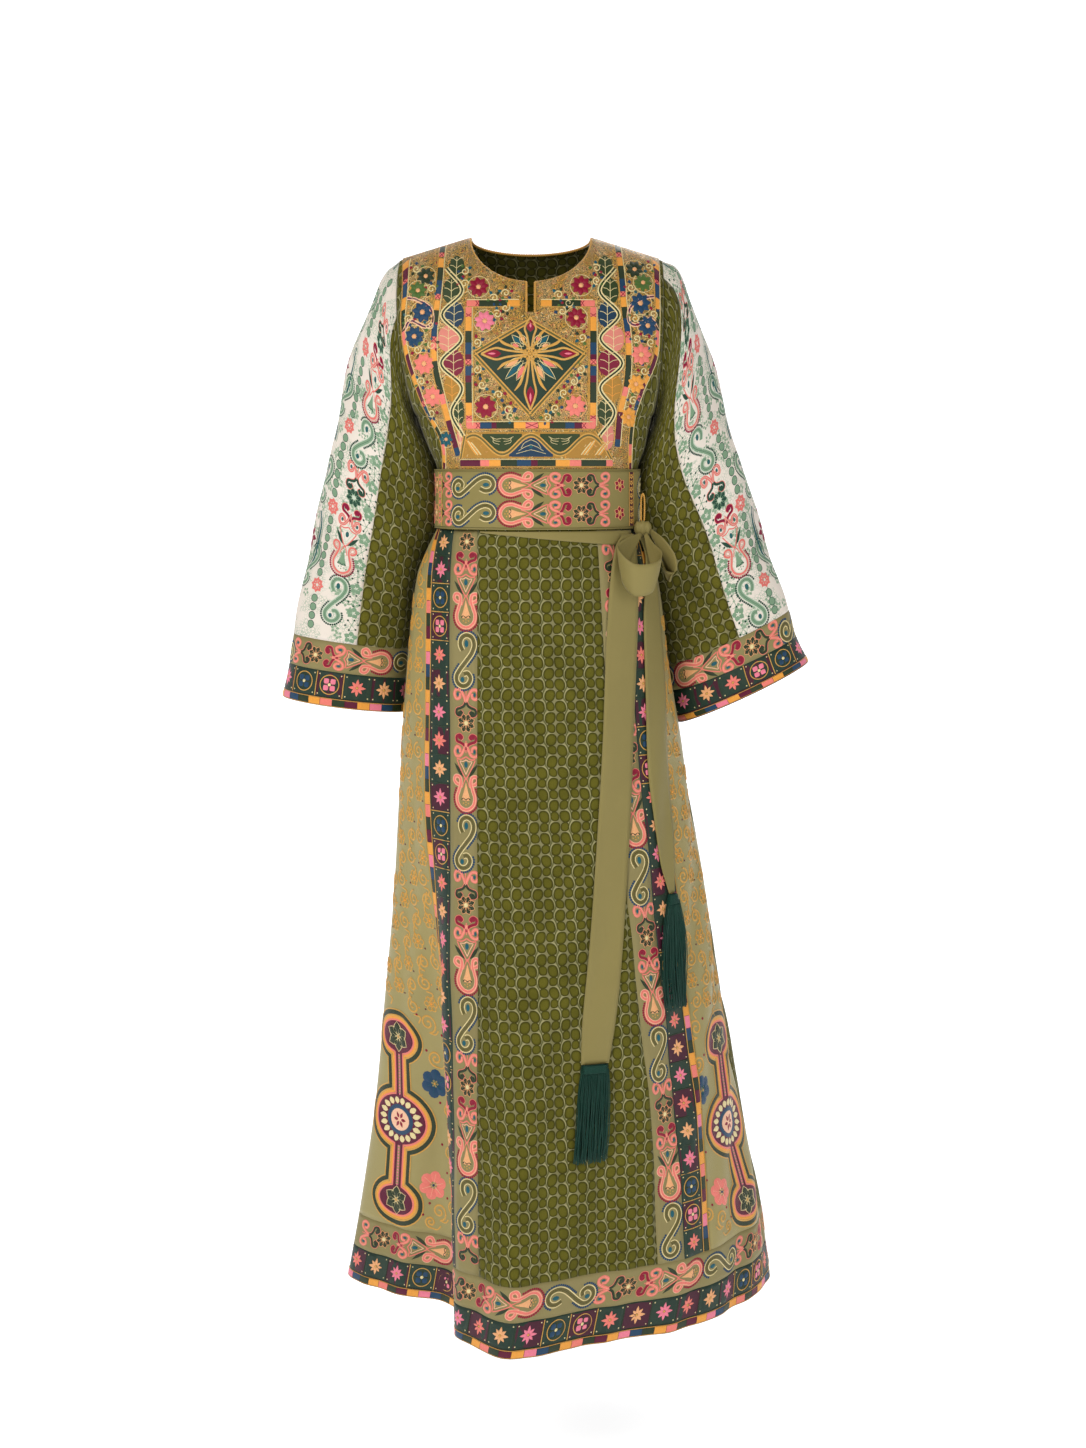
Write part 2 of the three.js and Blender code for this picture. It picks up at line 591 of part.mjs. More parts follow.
function neckBinding() {
  const edge = [];
  const first = -slitColumn;
  const slitRows = [SLIT_V, 0.875, 0.935, 0.978];
  for (const v of slitRows) edge.push([first, v, false]);
  for (const a of frontColumns.slice(0, slitCell + 1).reverse()) {
    if (a >= -neckShare(1) - 1e-6) edge.push([a, 1, false]);
  }
  const backEdge = backNeck.map((a) => [a, 1, true]);
  edge.push(...backEdge);
  for (const a of frontColumns.slice(slitCell + 1).reverse()) {
    if (a <= neckShare(1) + 1e-6) edge.push([a, 1, false]);
  }
  for (const v of slitRows.slice().reverse()) edge.push([-first, v, false]);
  const places = edge.map(([a, v, back]) => bodicePoint(a, v, back));
  const count = places.length;
  const points = places.map((p, i) => {
    const along = places[Math.min(i + 1, count - 1)].clone().sub(places[Math.max(i - 1, 0)]).normalize();
    const [a, v, back] = edge[i];
    const out = v === 1 ? neckOut(p) : outOf(frontSurface, a, v);
    return { p, out, inward: along.clone().cross(out).normalize() };
  });
  const grid = { points: [[], []], normals: [[], []], closed: false };
  for (const { p, out, inward } of points) {
    grid.points[0].push(p.clone().addScaledVector(inward, BINDING_GAP));
    grid.points[1].push(p.clone().addScaledVector(inward, BINDING_GAP + BINDING_WIDTH));
    grid.normals[0].push(out);
    grid.normals[1].push(out);
  }
  return wall(grid, { lift: -CLOTH, thick: CLOTH + CHEST_LIFT + RIBBON + 0.4 });
}
addPiece('neck_binding', neckBinding(), GOLD);

// Skirt panels, from the left side seam round the front and the back

const sideCells = 6;
const panelCells = 9;
const panelTop = WAIST_Z;
const skirtRows = [panelTop, -372, -412, -480, -560, -645, -735, -825, -915, -1005, -1095, -1180, HEM_MOTIF_TOP];
const columnsOf = {
  skirt_side_left: spread(SEAM.sideLeft, SEAM.stripeLeft, sideCells + 1),
  front_stripe_binding_left: spread(SEAM.stripeLeft, SEAM.starLeft, 1),
  front_star_band_left: spread(SEAM.starLeft, SEAM.motifLeft, 3),
  front_motif_band_left: spread(SEAM.motifLeft, SEAM.panelLeft, 3),
  skirt_front_panel: spread(SEAM.panelLeft, SEAM.panelRight, panelCells),
  front_motif_band_right: spread(SEAM.panelRight, SEAM.motifRight, 2),
  front_star_band_right: spread(SEAM.motifRight, SEAM.starRight, 2),
  front_stripe_binding_right: spread(SEAM.starRight, SEAM.stripeRight, 1),
  skirt_side_right: spread(SEAM.stripeRight, SEAM.sideRight, sideCells),
  skirt_back_right: spread(SEAM.sideRight, SEAM.backMiddle, 11),
  skirt_back_left: spread(SEAM.backMiddle, SEAM.end, 11),
};
const panelColour = {
  skirt_side_left: KHAKI, front_stripe_binding_left: MAROON, front_star_band_left: DARK_BAND,
  front_motif_band_left: PLAIN_GROUND, skirt_front_panel: VELVET, front_motif_band_right: PLAIN_GROUND,
  front_star_band_right: DARK_BAND, front_stripe_binding_right: MAROON, skirt_side_right: KHAKI,
  skirt_back_right: VELVET, skirt_back_left: VELVET,
};
for (const [name, columns] of Object.entries(columnsOf)) {
  const grid = gridOf(skirtPoint, columns, skirtRows);
  addPiece(name, wall(grid, { lift: -CLOTH }), panelColour[name]);
}

const roundFront = Object.entries(columnsOf).filter(([name]) => !name.includes('back'));
const roundBack = Object.entries(columnsOf).filter(([name]) => name.includes('back'));
const joinColumns = (entries) => entries.flatMap(([, columns], i) => (i === 0 ? columns : columns.slice(1)));
const hemBands = [
  ['hem_motif_band', [HEM_MOTIF_TOP, HEM_STAR_TOP], PLAIN_GROUND],
  ['hem_star_band', [HEM_STAR_TOP, HEM_STRIPE_TOP], DARK_BAND],
  ['hem_stripe_binding', [HEM_STRIPE_TOP, HEM_Z], MAROON],
];
for (const [name, rows, colour] of hemBands) {
  for (const [end, entries] of [['front', roundFront], ['back', roundBack]]) {
    const grid = gridOf(skirtPoint, joinColumns(entries), rows);
    addPiece(`${name}_${end}`, wall(grid, { lift: -CLOTH }), colour);
  }
}

// Sleeves

function addSleeve(side, rows, edgeTable) {
  const right = side === 'right';
  const turned = right;
  const surface = (angle, row) => sleevePoint(rows, angle, row);
  const edgeAt = (row) => smoothColumn(edgeTable, 'row', 'angle', Math.min(Math.max(row, 0), 9)) * degrees;
  // Each panel's own columns run between its two edges, which drift round the sleeve
  const panelSurface = (from, to) => (t, row) => surface(mix(from(row), to(row), t), row);
  const straight = () => Math.PI;
  const around = () => 2 * Math.PI;
  const panels = [
    ['sleeve_print_panel', (row) => -edgeAt(row), edgeAt, 8, PRINT],
    ['sleeve_velvet_front', edgeAt, straight, 5, VELVET],
    ['sleeve_velvet_back', straight, (row) => around() - edgeAt(row), 5, VELVET],
  ];
  const mainRows = [0.025, 0.6, 1.3, 2, 2.7, 3.5, 4.5, 5.5, 6.6, 7.8, 9];
  const ends = [];
  for (const [name, from, to, cells, colour] of panels) {
    const grid = gridOf(panelSurface(from, to), spread(0, 1, cells), mainRows, { turned: !turned });
    // The wall's end at the armhole turns square to the shoulder there, clear of the bodice
    grid.normals[0].forEach((out, i) => {
      const angle = mix(from(0), to(0), i / cells);
      out.setX(out.x * (1 - Math.cos(angle)) / 2).normalize();
    });
    addPiece(`${name}_${side}`, wall(grid, { lift: -CLOTH }), colour);
    for (let i = 0; i < cells; i += 1) ends.push(mix(from(9), to(9), i / cells));
  }
  const bands = [
    ['cuff_motif_band', 9, 10, PLAIN_GROUND],
    ['cuff_star_band', 10, 11, DARK_BAND],
    ['cuff_stripe_binding', 11, 12, MAROON],
  ];
  for (const [name, top, bottom, colour] of bands) {
    const grid = gridOf(surface, ends, [top, bottom], { closed: true, turned: !turned });
    addPiece(`${name}_${side}`, wall(grid, { lift: -CLOTH }), colour);
  }
}
addSleeve('left', SLEEVE_LEFT, PRINT_EDGE_LEFT);
addSleeve('right', SLEEVE_RIGHT, PRINT_EDGE_RIGHT);

// Belt: one strip round the waist, over the chest panel and the waist seam

const BELT_LIFT = CHEST_LIFT + RIBBON + SEAM_GAP;
const beltSurfaces = [
  ...frontColumns.map((a) => [a, false]),
  ...backColumns.slice(1, -1).reverse().map((a) => [a, true]),
];
const beltPoints = beltRows.map((v) => beltSurfaces.map(([a, back]) => bodicePoint(a, v, back)));
const beltNormals = beltRows.map((v) => beltSurfaces.map(
  ([a, back]) => outOf(back ? backSurface : frontSurface, a, v, back)));
addPiece('belt_band', wall(
  { points: beltPoints, normals: beltNormals, closed: true }, { lift: BELT_LIFT, thick: CLOTH + 0.2 }), GOLD);

// The ribbon that crosses under the belt to the bow

const TIE_FROM = -62;
const TIE_TO = 124;
const tieSurface = (t, drop) => {
  const x = mix(TIE_FROM, TIE_TO, t);
  const z = BELT_BOTTOM - 2.5 - drop * mix(2, 17, Math.min(1, t * 1.15));
  const arc = arcFor(z, x);
  return pointAtArc(z, arc);
};
function arcFor(z, x) {
  const { points, arcs } = ring(z);
  for (let i = 3 * RING_STEPS; i < FRONT_CONTROLS * RING_STEPS; i += 1) {
    if (points[i + 1].x >= x) {
      return mix(arcs[i], arcs[i + 1], (x - points[i].x) / (points[i + 1].x - points[i].x));
    }
  }
  return 0;
}
const tieGrid = gridOf(tieSurface, spread(0, 1, 12), [0, 1], { turned: true, gap: false });
addPiece('under_tie', wall(tieGrid, { lift: 0.9, thick: 0.9 }), KHAKI);

// Tie tails, laid on the skirt

function tailGrid(rows, cells) {
  const surface = (side, z) => {
    const arc = arcAtX(z, smoothColumn(rows, 'z', 'x', z));
    return pointAtArc(z, arc + side * smoothColumn(rows, 'z', 'width', z) / 2);
  };
  const heights = spread(rows[0].z, rows[rows.length - 1].z, cells);
  const grid = gridOf(surface, [-1, -0.5, 0, 0.5, 1], heights, { gap: false });
  return { grid, lift: (i, j) => smoothColumn(rows, 'z', 'lift', heights[j]) };
}
for (const [name, rows, cells] of [['tie_tail_left', TAIL_LEFT, 15], ['tie_tail_right', TAIL_RIGHT, 13]]) {
  const { grid, lift } = tailGrid(rows, cells);
  addPiece(name, wall(grid, { lift, thick: RIBBON }), KHAKI);
}

// Bow: a knot at the belt's right end with two loops of the same ribbon

const knot = new THREE.SphereGeometry(1, 12, 8);
knot.scale(11, 7.2, 9);
knot.translate(KNOT.x, KNOT.y, KNOT.z);
knot.deleteAttribute('normal');
knot.deleteAttribute('uv');
addPiece('bow_knot', mergeVertices(knot, 1e-4), KHAKI);

const fromKnot = (x, y, z) => new THREE.Vector3(KNOT.x + x, KNOT.y + y, KNOT.z + z);
const vec = (x, y, z) => new THREE.Vector3(x, y, z);
const frontLoop = ribbon(
  [fromKnot(-2.5, -5.7, -6.8), fromKnot(-20, -33, -25), fromKnot(-30, -52, -42), fromKnot(-13, -68, -61),
    fromKnot(11, -62, -58), fromKnot(17, -40, -44), fromKnot(9, -22, -27), fromKnot(2.8, -6, -7)],
  [vec(-2, -1, 1), vec(-4, -1, 12), vec(-3, -1, 20), vec(0, -4, 20),
    vec(3, -2, 19), vec(4, 0, 16), vec(3, 0, 9), vec(1.5, 0, 1.5)], 16);
addPiece('bow_loop_front', wall(frontLoop, { lift: 0, thick: RIBBON }), KHAKI);
const backLoop = ribbon(
  [fromKnot(10.5, -3.2, -3.3), fromKnot(22, -13, -18), fromKnot(34, -20, -40), fromKnot(37, -18, -60),
    fromKnot(29, -9, -58), fromKnot(23, -3, -40), fromKnot(17, -1, -22), fromKnot(12.5, 1, -7)],
  [vec(1, -3, 2), vec(5, -8, 4), vec(6, -12, 5), vec(3, -12, 6),
    vec(-2, -12, 6), vec(-2, -11, 5), vec(-2, -7, 4), vec(-1, -2, 1)], 16);
addPiece('bow_loop_back', wall(backLoop, { lift: 0, thick: RIBBON }), KHAKI);

// A doubled cord from the belt's end down to the knot
const cordPath = [fromKnot(-1.9, -0.6, 9.7), fromKnot(-2.2, -0.2, 22), fromKnot(-1.8, 0.9, 38),
  fromKnot(0, 1.3, 43), fromKnot(1.8, 1.4, 38), fromKnot(2.2, 0.2, 22), fromKnot(1.9, -0.6, 9.7)];
addPiece('belt_cord', tube(cordPath, 1.1, 6, 20), KHAKI);

// Tassels: strands that hang apart from one fused head

function manifoldOf(geometry) {
  const bare = geometry.clone();
  bare.deleteAttribute('normal');
  bare.deleteAttribute('uv');
  const merged = mergeVertices(bare, 1e-5);
  return new wasm.Manifold(new wasm.Mesh({
    numProp: 3,
    vertProperties: new Float32Array(merged.attributes.position.array),
    triVerts: new Uint32Array(merged.index.array),
  }));
}

function geometryOf(manifold) {
  const mesh = manifold.getMesh();
  const geometry = new THREE.BufferGeometry();
  geometry.setAttribute('position', new THREE.BufferAttribute(new Float32Array(mesh.vertProperties), 3));
  geometry.setIndex(new THREE.BufferAttribute(new Uint32Array(mesh.triVerts), 1));
  return geometry;
}

function tassel({ topZ, bottomZ, topX, bottomX, topWidth, bottomWidth, headHeight, lift }) {
  const place = (share, z, raise) => {
    const t = (topZ - z) / (topZ - bottomZ);
    const arc = arcAtX(z, mix(topX, bottomX, t));
    const fan = Math.min(1, t * 2.2);
    const width = mix(topWidth, bottomWidth, fan * (2 - fan));
    const p = pointAtArc(z, arc + share * width / 2);
    const ahead = pointAtArc(z, arc + share * width / 2 + 1).sub(pointAtArc(z, arc + share * width / 2 - 1));
    const out = ahead.cross(new THREE.Vector3(0, 0, 1)).normalize();
    return p.addScaledVector(out, raise);
  };
  const headGrid = gridOf((share, z) => place(share, z, 0), spread(-1, 1, 4), spread(topZ, topZ - headHeight, 2),
    { gap: false });
  let body = manifoldOf(wall(headGrid, { lift, thick: 6 }));
  for (let layer = 0; layer < 2; layer += 1) {
    for (let i = 0; i < TASSEL_STRANDS; i += 1) {
      const share = -0.94 + 1.88 * i / (TASSEL_STRANDS - 1) + (layer ? 0.035 : -0.035);
      const raise = lift + 1.5 + layer * 2.9;
      const end = bottomZ + 7 * Math.abs(Math.sin(3.1 * i + 2 * layer));
      const sway = 0.05 * Math.sin(2.3 * i + layer);
      const heights = spread(topZ - headHeight * 0.5, end, 3);
      const path = heights.map((z, k) => place(share + sway * k / 3, z, raise));
      body = body.add(manifoldOf(tube(path, STRAND_RADIUS, 3, 3)));
    }
  }
  return geometryOf(body);
}
addPiece('tassel_left', tassel({
  topZ: -995.4, bottomZ: TASSEL_LEFT_BOTTOM, topX: 79, bottomX: 72, topWidth: 33, bottomWidth: 44,
  headHeight: 9, lift: 1.2,
}), TEAL);
addPiece('tassel_right', tassel({
  topZ: -797.4, bottomZ: TASSEL_RIGHT_BOTTOM, topX: 175.5, bottomX: 180, topWidth: 12, bottomWidth: 40,
  headHeight: 12, lift: 1.6,
}), TEAL);

export default group;
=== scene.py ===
# %% [markdown]
# # A belted thobe, step by step
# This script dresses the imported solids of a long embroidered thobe: it gives each solid a smooth
# sheet of cloth on the same form, then sews, prints and embroiders on it.
# All sizes are in millimetres in the tables and turn into metres when a mesh is made.

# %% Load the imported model
import math

import bmesh
import bpy
import numpy as np
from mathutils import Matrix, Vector
from mathutils.bvhtree import BVHTree


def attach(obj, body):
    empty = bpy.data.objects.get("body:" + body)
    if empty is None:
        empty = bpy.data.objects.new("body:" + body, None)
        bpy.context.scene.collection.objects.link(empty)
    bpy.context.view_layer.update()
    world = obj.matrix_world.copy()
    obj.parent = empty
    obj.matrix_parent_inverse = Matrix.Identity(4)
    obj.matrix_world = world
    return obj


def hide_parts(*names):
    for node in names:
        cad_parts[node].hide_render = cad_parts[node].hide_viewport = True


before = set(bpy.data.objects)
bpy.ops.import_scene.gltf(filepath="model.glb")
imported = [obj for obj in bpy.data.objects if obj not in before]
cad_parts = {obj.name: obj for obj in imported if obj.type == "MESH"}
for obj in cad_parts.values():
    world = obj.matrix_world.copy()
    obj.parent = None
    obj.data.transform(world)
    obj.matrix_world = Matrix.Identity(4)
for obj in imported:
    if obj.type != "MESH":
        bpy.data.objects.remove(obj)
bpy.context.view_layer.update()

rng = np.random.default_rng(7)
print("solids:", len(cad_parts))

# %% [markdown]
# ## Camera, light and floor
# The camera stands 2.4 m in front of the garment's middle, a little above the belt, and looks
# 7.7 degrees down, as worked out from the photograph's vertical lines and the floor.

# %% Small helpers for colours, objects, node inputs and vectors
def linear(colour):
    """sRGB hex to linear RGBA."""
    parts = [int(colour[i:i + 2], 16) / 255 for i in (1, 3, 5)]
    return [p / 12.92 if p <= 0.04045 else ((p + 0.055) / 1.055) ** 2.4 for p in parts] + [1.0]


def linked(name, data):
    """A new object in the scene."""
    obj = bpy.data.objects.new(name, data)
    bpy.context.scene.collection.objects.link(obj)
    return obj


def mesh_of(bm, name):
    mesh = bpy.data.meshes.new(name)
    bm.to_mesh(mesh)
    bm.free()
    return mesh


def settings(node, values):
    """Plain numbers and colours for a node's own sockets."""
    for name, value in values.items():
        node.inputs[name].default_value = value


def unit(vectors):
    return vectors / np.maximum(np.linalg.norm(vectors, axis=-1, keepdims=True), 1e-9)


def along(path):
    """The distance along a path at each of its points."""
    return np.concatenate([[0], np.cumsum(np.linalg.norm(np.diff(path, axis=0), axis=1))])


def leftward(path, closed=False):
    """At each point of a flat path, the direction to its left."""
    tangent = np.gradient(path, axis=0)
    if closed:
        tangent[0] = tangent[-1] = path[1] - path[-2]
    tangent = unit(tangent)
    return np.stack([-tangent[:, 1], tangent[:, 0]], axis=1)


def mix(a, b, t):
    return a + (b - a) * t


def cap(q):
    """The height of a round cap at q of the way to its rim."""
    return math.sqrt(max(0.0, 1 - q * q))


# %% Camera
FOCAL_PX, FRAME_H, SENSOR = 1875, 1448, 36
LOOK_DOWN = 7.7
camera_data = bpy.data.cameras.new("camera")
camera_data.sensor_fit = 'VERTICAL'
camera_data.sensor_height = SENSOR
camera_data.lens = SENSOR * FOCAL_PX / FRAME_H
camera_data.clip_end = 50
camera = linked("camera", camera_data)
camera.location = (0.015, -2.4, -0.27)
camera.rotation_euler = (math.radians(90 - LOOK_DOWN), 0, 0)
bpy.context.scene.camera = camera
bpy.context.scene.view_settings.view_transform = 'Standard'

# %% Floor, backdrop and soft light
FLOOR_Z, FLOOR_FRONT, FLOOR_BACK, COVE, WALL_TOP, HALF_WIDTH = -1.54, -6, 2.4, 1.2, 6, 9
bm = bmesh.new()
profile = [(FLOOR_FRONT, FLOOR_Z), (FLOOR_BACK, FLOOR_Z)] + [
    (FLOOR_BACK + COVE * math.sin(a), FLOOR_Z + COVE - COVE * math.cos(a))
    for a in np.linspace(0.15, math.pi / 2, 9)] + [(FLOOR_BACK + COVE, WALL_TOP)]
line = [bm.verts.new((-HALF_WIDTH, y, z)) for y, z in profile]
edges = [bm.edges.new(pair) for pair in zip(line, line[1:])]
bmesh.ops.extrude_edge_only(bm, edges=edges)
bmesh.ops.translate(bm, vec=(2 * HALF_WIDTH, 0, 0), verts=[v for v in bm.verts if v not in line])
bmesh.ops.recalc_face_normals(bm, faces=bm.faces)
floor = linked("floor", mesh_of(bm, "floor"))
for face in floor.data.polygons:
    face.use_smooth = True
paper = bpy.data.materials.new("pale studio paper")
paper.use_nodes = True
settings(paper.node_tree.nodes["Principled BSDF"], {
    "Base Color": linear("#F2F2F4"), "Roughness": 0.9,
    "Emission Color": linear("#F4F6FA"), "Emission Strength": 0.62})
floor.data.materials.append(paper)

for name, place, aim_z, light_size, watts in (
        ("key", (-1.9, -3.0, 1.6), -0.6, (1.6, 2.2), 98), ("fill", (2.6, -2.6, 0.3), -0.7, (1.8, 2.4), 32),
        ("back", (0.6, 2.6, 1.4), -0.6, (1.8, 1.4), 36)):
    data = bpy.data.lights.new(name, 'AREA')
    data.color = (1.0, 0.95, 0.87)
    data.shape = 'RECTANGLE'
    data.size, data.size_y = light_size
    data.energy = watts
    light = linked(name, data)
    light.location = place
    light.rotation_euler = (Vector((0, 0, aim_z)) - Vector(place)).to_track_quat('-Z', 'Y').to_euler()
world = bpy.data.worlds.new("soft room")
world.use_nodes = True
settings(world.node_tree.nodes["Background"], {"Color": linear("#F3F1EE"), "Strength": 0.26})
bpy.context.scene.world = world

# %% [markdown]
# ## The garment's form
# The same tables as in the solids: smooth columns through a few rows give every section.

# %% Sizes and tables
CLOTH, RIBBON, BODY_Y = 1.4, 1.2, 2.0
WAIST_Z, BELT_TOP, BELT_BOTTOM, CHEST_BOTTOM = -343, -268, -342, -288
UNDERARM_Z, SHOULDER_END_Z, SHOULDER_X, NECK_Z, NECK_HALF = -201, -10, 163, 16, 77
NECK_DROP_FRONT, NECK_DROP_BACK, SHOULDER_ROUND, SLIT_HALF = 61, 16, 70, 7
HEM_Z, STRIPE, STAR_BAND, MOTIF_BAND, HEM_MOTIF = -1345, 11, 34, 38, 44
VELVET_LEFT, CHEST_LIFT = -66, 0.4
HEM_STRIPE_TOP = HEM_Z + STRIPE
HEM_STAR_TOP = HEM_STRIPE_TOP + STAR_BAND
HEM_MOTIF_TOP = HEM_STAR_TOP + HEM_MOTIF


def table(names, *rows):
    """A table with named columns."""
    return {name: [row[i] for row in rows] for i, name in enumerate(names.split())}


BODICE_DEPTH = table(
    "z front back",
    (16, -56, 58), (-20, -70, 74), (-60, -90, 88), (-100, -109, 95), (-145, -120, 98),
    (-190, -118, 95), (-235, -107, 88), (-275, -97, 82), (-345, -94, 82))
BODICE_SIDE = table(
    "z left right chestLeft chestRight",
    (-10, -163, 163, -159, 159), (-54, -163, 163, -157, 158), (-96, -163, 163, -158, 157),
    (-135, -158, 163, -152, 154), (-171, -152, 158, -140, 139), (-201, -146, 155, -128, 129),
    (-222, -139, 150, -116, 126), (-240, -131.5, 146, -110, 125),
    (-268, -119.5, 135.5, -109, 125), (-342, -119.5, 135.5, -109, 125))
SKIRT_COLUMNS = "left right front back crest valley panel fold flute"
SKIRT = table(
    "z " + SKIRT_COLUMNS,
    (-343, -119.5, 135.5, -94, 82, -104, -113, 81, 0, 0),
    (-370, -133, 150, -99, 93, -104, -127, 83, 0, 0),
    (-404, -146, 161, -105, 103, -104, -138, 85, 0, 0),
    (-500, -158, 175, -117, 126, -104, -149, 91, 0, 0.1),
    (-600, -166, 190, -128, 143, -104, -150, 98, 0.03, 0.25),
    (-700, -172, 205, -139, 157, -104.5, -144, 107, 0.1, 0.4),
    (-820, -180, 227, -152, 173, -105, -129, 121, 0.27, 0.55),
    (-960, -194, 250, -166, 190, -104.5, -112, 137, 0.53, 0.7),
    (-1100, -208, 274, -179, 207, -101, -104, 152, 0.76, 0.85),
    (-1240, -229, 303, -189, 222, -96, -100, 159, 0.92, 0.96),
    (-1345, -248, 320, -195, 232, -92, -97, 163, 1, 1))
# How far the low folds push the front out (less than 0) or in, from the left side to the right
FOLD_NEAR, FOLD_FAR, FOLD_VALLEY, FOLD_CREST, FOLD_LEFT = 46, 74, 78, -7, -27
FOLD_CENTRE, FOLD_RIGHT, FOLD_SIDE = ((0.2, -46), (0.47, -17), (0.7, 3)), 5, ((0.3, 15), (0.55, 24), (0.8, 14))
BACK_STATIONS, FLUTE_DEPTH = 11, 13
SLEEVE_COLUMNS = "ox oz ix iz depth y bow"
SLEEVES = {
    "left": table(
        SLEEVE_COLUMNS,
        (-163, -10, -146.6, -201, 60, 2, 8), (-184, -29, -146, -211, 60, 5, 6),
        (-203, -62, -140, -228, 60, 9, 3), (-221, -112, -130.5, -254, 58, 15, 1),
        (-238, -167, -125.5, -288, 57, 22, 0), (-252, -225, -127, -328, 56, 28, 0),
        (-267, -290, -137, -371, 55, 34, 0), (-284, -358, -149, -418, 54, 39, 0),
        (-299, -425, -154, -462, 54, 43, 0), (-310, -480, -158, -500, 55, 46, 0),
        (-318, -518, -161, -538, 56, 48, 0), (-324, -552, -163, -572, 57, 49, 0),
        (-326, -563, -163.5, -583, 57, 49, 0)),
    "right": table(
        SLEEVE_COLUMNS,
        (163, -10, 155.6, -201, 60, 2, 3), (184, -22, 156, -212, 60, 5, 2),
        (202, -56, 151.5, -230, 60, 9, 1), (222, -116, 144, -262, 58, 15, 0),
        (241, -173, 142, -300, 57, 22, 0), (260, -233, 146, -345, 56, 29, 0),
        (280, -293, 158, -392, 55, 35, 0), (301, -354, 168, -438, 54, 40, 0),
        (321, -412, 176, -482, 54, 44, 0), (335, -450, 182, -522, 55, 47, 0),
        (347, -483, 187, -556, 56, 49, 0), (358, -509, 191, -588, 57, 50, 0),
        (362, -518, 193, -598, 57, 50, 0))}
PRINT_EDGE = {
    "left": table("row angle", (0, 76), (1.5, 90), (2.5, 94), (4, 92), (5, 90.5), (7, 96), (9, 98)),
    "right": table("row angle", (0, 42), (1.3, 53), (2, 74), (2.7, 93), (3.5, 100), (4.4, 99), (5.2, 94),
                   (6.2, 89), (7.2, 88), (9, 84))}
TAILS = {
    "left": table(
        "z x lift width",
        (-351, 117, 5, 22), (-364, 115.5, 4.5, 34), (-400, 114.5, 2.4, 41), (-460, 113, 1.1, 43),
        (-600, 107.5, 1, 43), (-800, 96, 1, 43), (-940, 84, 1, 41), (-995, 79, 1.1, 35)),
    "right": table(
        "z x lift width",
        (-352, 135, 2.6, 14), (-380, 147, 2.2, 26), (-455, 151.5, 1.1, 38), (-600, 158.5, 0.9, 40),
        (-700, 164, 1.1, 37), (-752, 169, 1.5, 28), (-797, 175, 2, 10))}
KNOT = np.array([140, -36.2, -341.5])
print("skirt from", WAIST_Z, "to", HEM_Z, "mm")

# %% Smooth columns and curves
def smooth(rows, key, name, x):
    """The value of a column at x, on a smooth curve through the table's rows."""
    places, values = rows[key], rows[name]
    sign = -1 if places[0] > places[-1] else 1
    places = [sign * p for p in places]
    at, last, i = sign * x, len(places) - 1, 0
    while i < last - 1 and at > places[i + 1]:
        i += 1

    def slope(j):
        a, b = max(j - 1, 0), min(j + 1, last)
        return (values[b] - values[a]) / (places[b] - places[a])

    span = places[i + 1] - places[i]
    t = min(max((at - places[i]) / span, 0), 1)
    return ((2 * t**3 - 3 * t**2 + 1) * values[i] + (t**3 - 2 * t**2 + t) * span * slope(i)
            + (3 * t**2 - 2 * t**3) * values[i + 1] + (t**3 - t**2) * span * slope(i + 1))


def curve_through(points, closed, steps):
    """Centripetal Catmull-Rom curve through the points, as an array of points."""
    p = np.asarray(points, float)
    if closed:
        p0, p1, p2, p3 = np.roll(p, 1, 0), p, np.roll(p, -1, 0), np.roll(p, -2, 0)
    else:
        padded = np.vstack([2 * p[0] - p[1], p, 2 * p[-1] - p[-2]])
        p0, p1, p2, p3 = padded[:-3], padded[1:-2], padded[2:-1], padded[3:]
    gap = [np.maximum(np.linalg.norm(b - a, axis=1), 1e-6)[:, None] ** 0.5
           for a, b in ((p0, p1), (p1, p2), (p2, p3))]
    m1 = ((p1 - p0) / gap[0] - (p2 - p0) / (gap[0] + gap[1]) + (p2 - p1) / gap[1]) * gap[1]
    m2 = ((p2 - p1) / gap[1] - (p3 - p1) / (gap[1] + gap[2]) + (p3 - p2) / gap[2]) * gap[1]
    t = (np.arange(steps) / steps)[None, :, None]
    a, b, c, d = (q[:, None, :] for q in (p1, m1, -3 * p1 + 3 * p2 - 2 * m1 - m2,
                                          2 * p1 - 2 * p2 + m1 + m2))
    out = (a + b * t + c * t**2 + d * t**3).reshape(-1, p.shape[1])
    return np.vstack([out, p[0] if closed else p[-1]])


# %% [markdown]
# ### Skirt
# A closed ring at each height, measured along the cloth, so that the bands keep their width.

# %% Skirt rings
RING_STEPS, FRONT_CONTROLS = 24, 14
SEAM = dict(sideLeft=0, stripeLeft=1, starLeft=2, motifLeft=3, panelLeft=4, panelRight=5,
            motifRight=6, starRight=7, stripeRight=8, sideRight=9, backMiddle=10, end=11)
ring_cache = {}


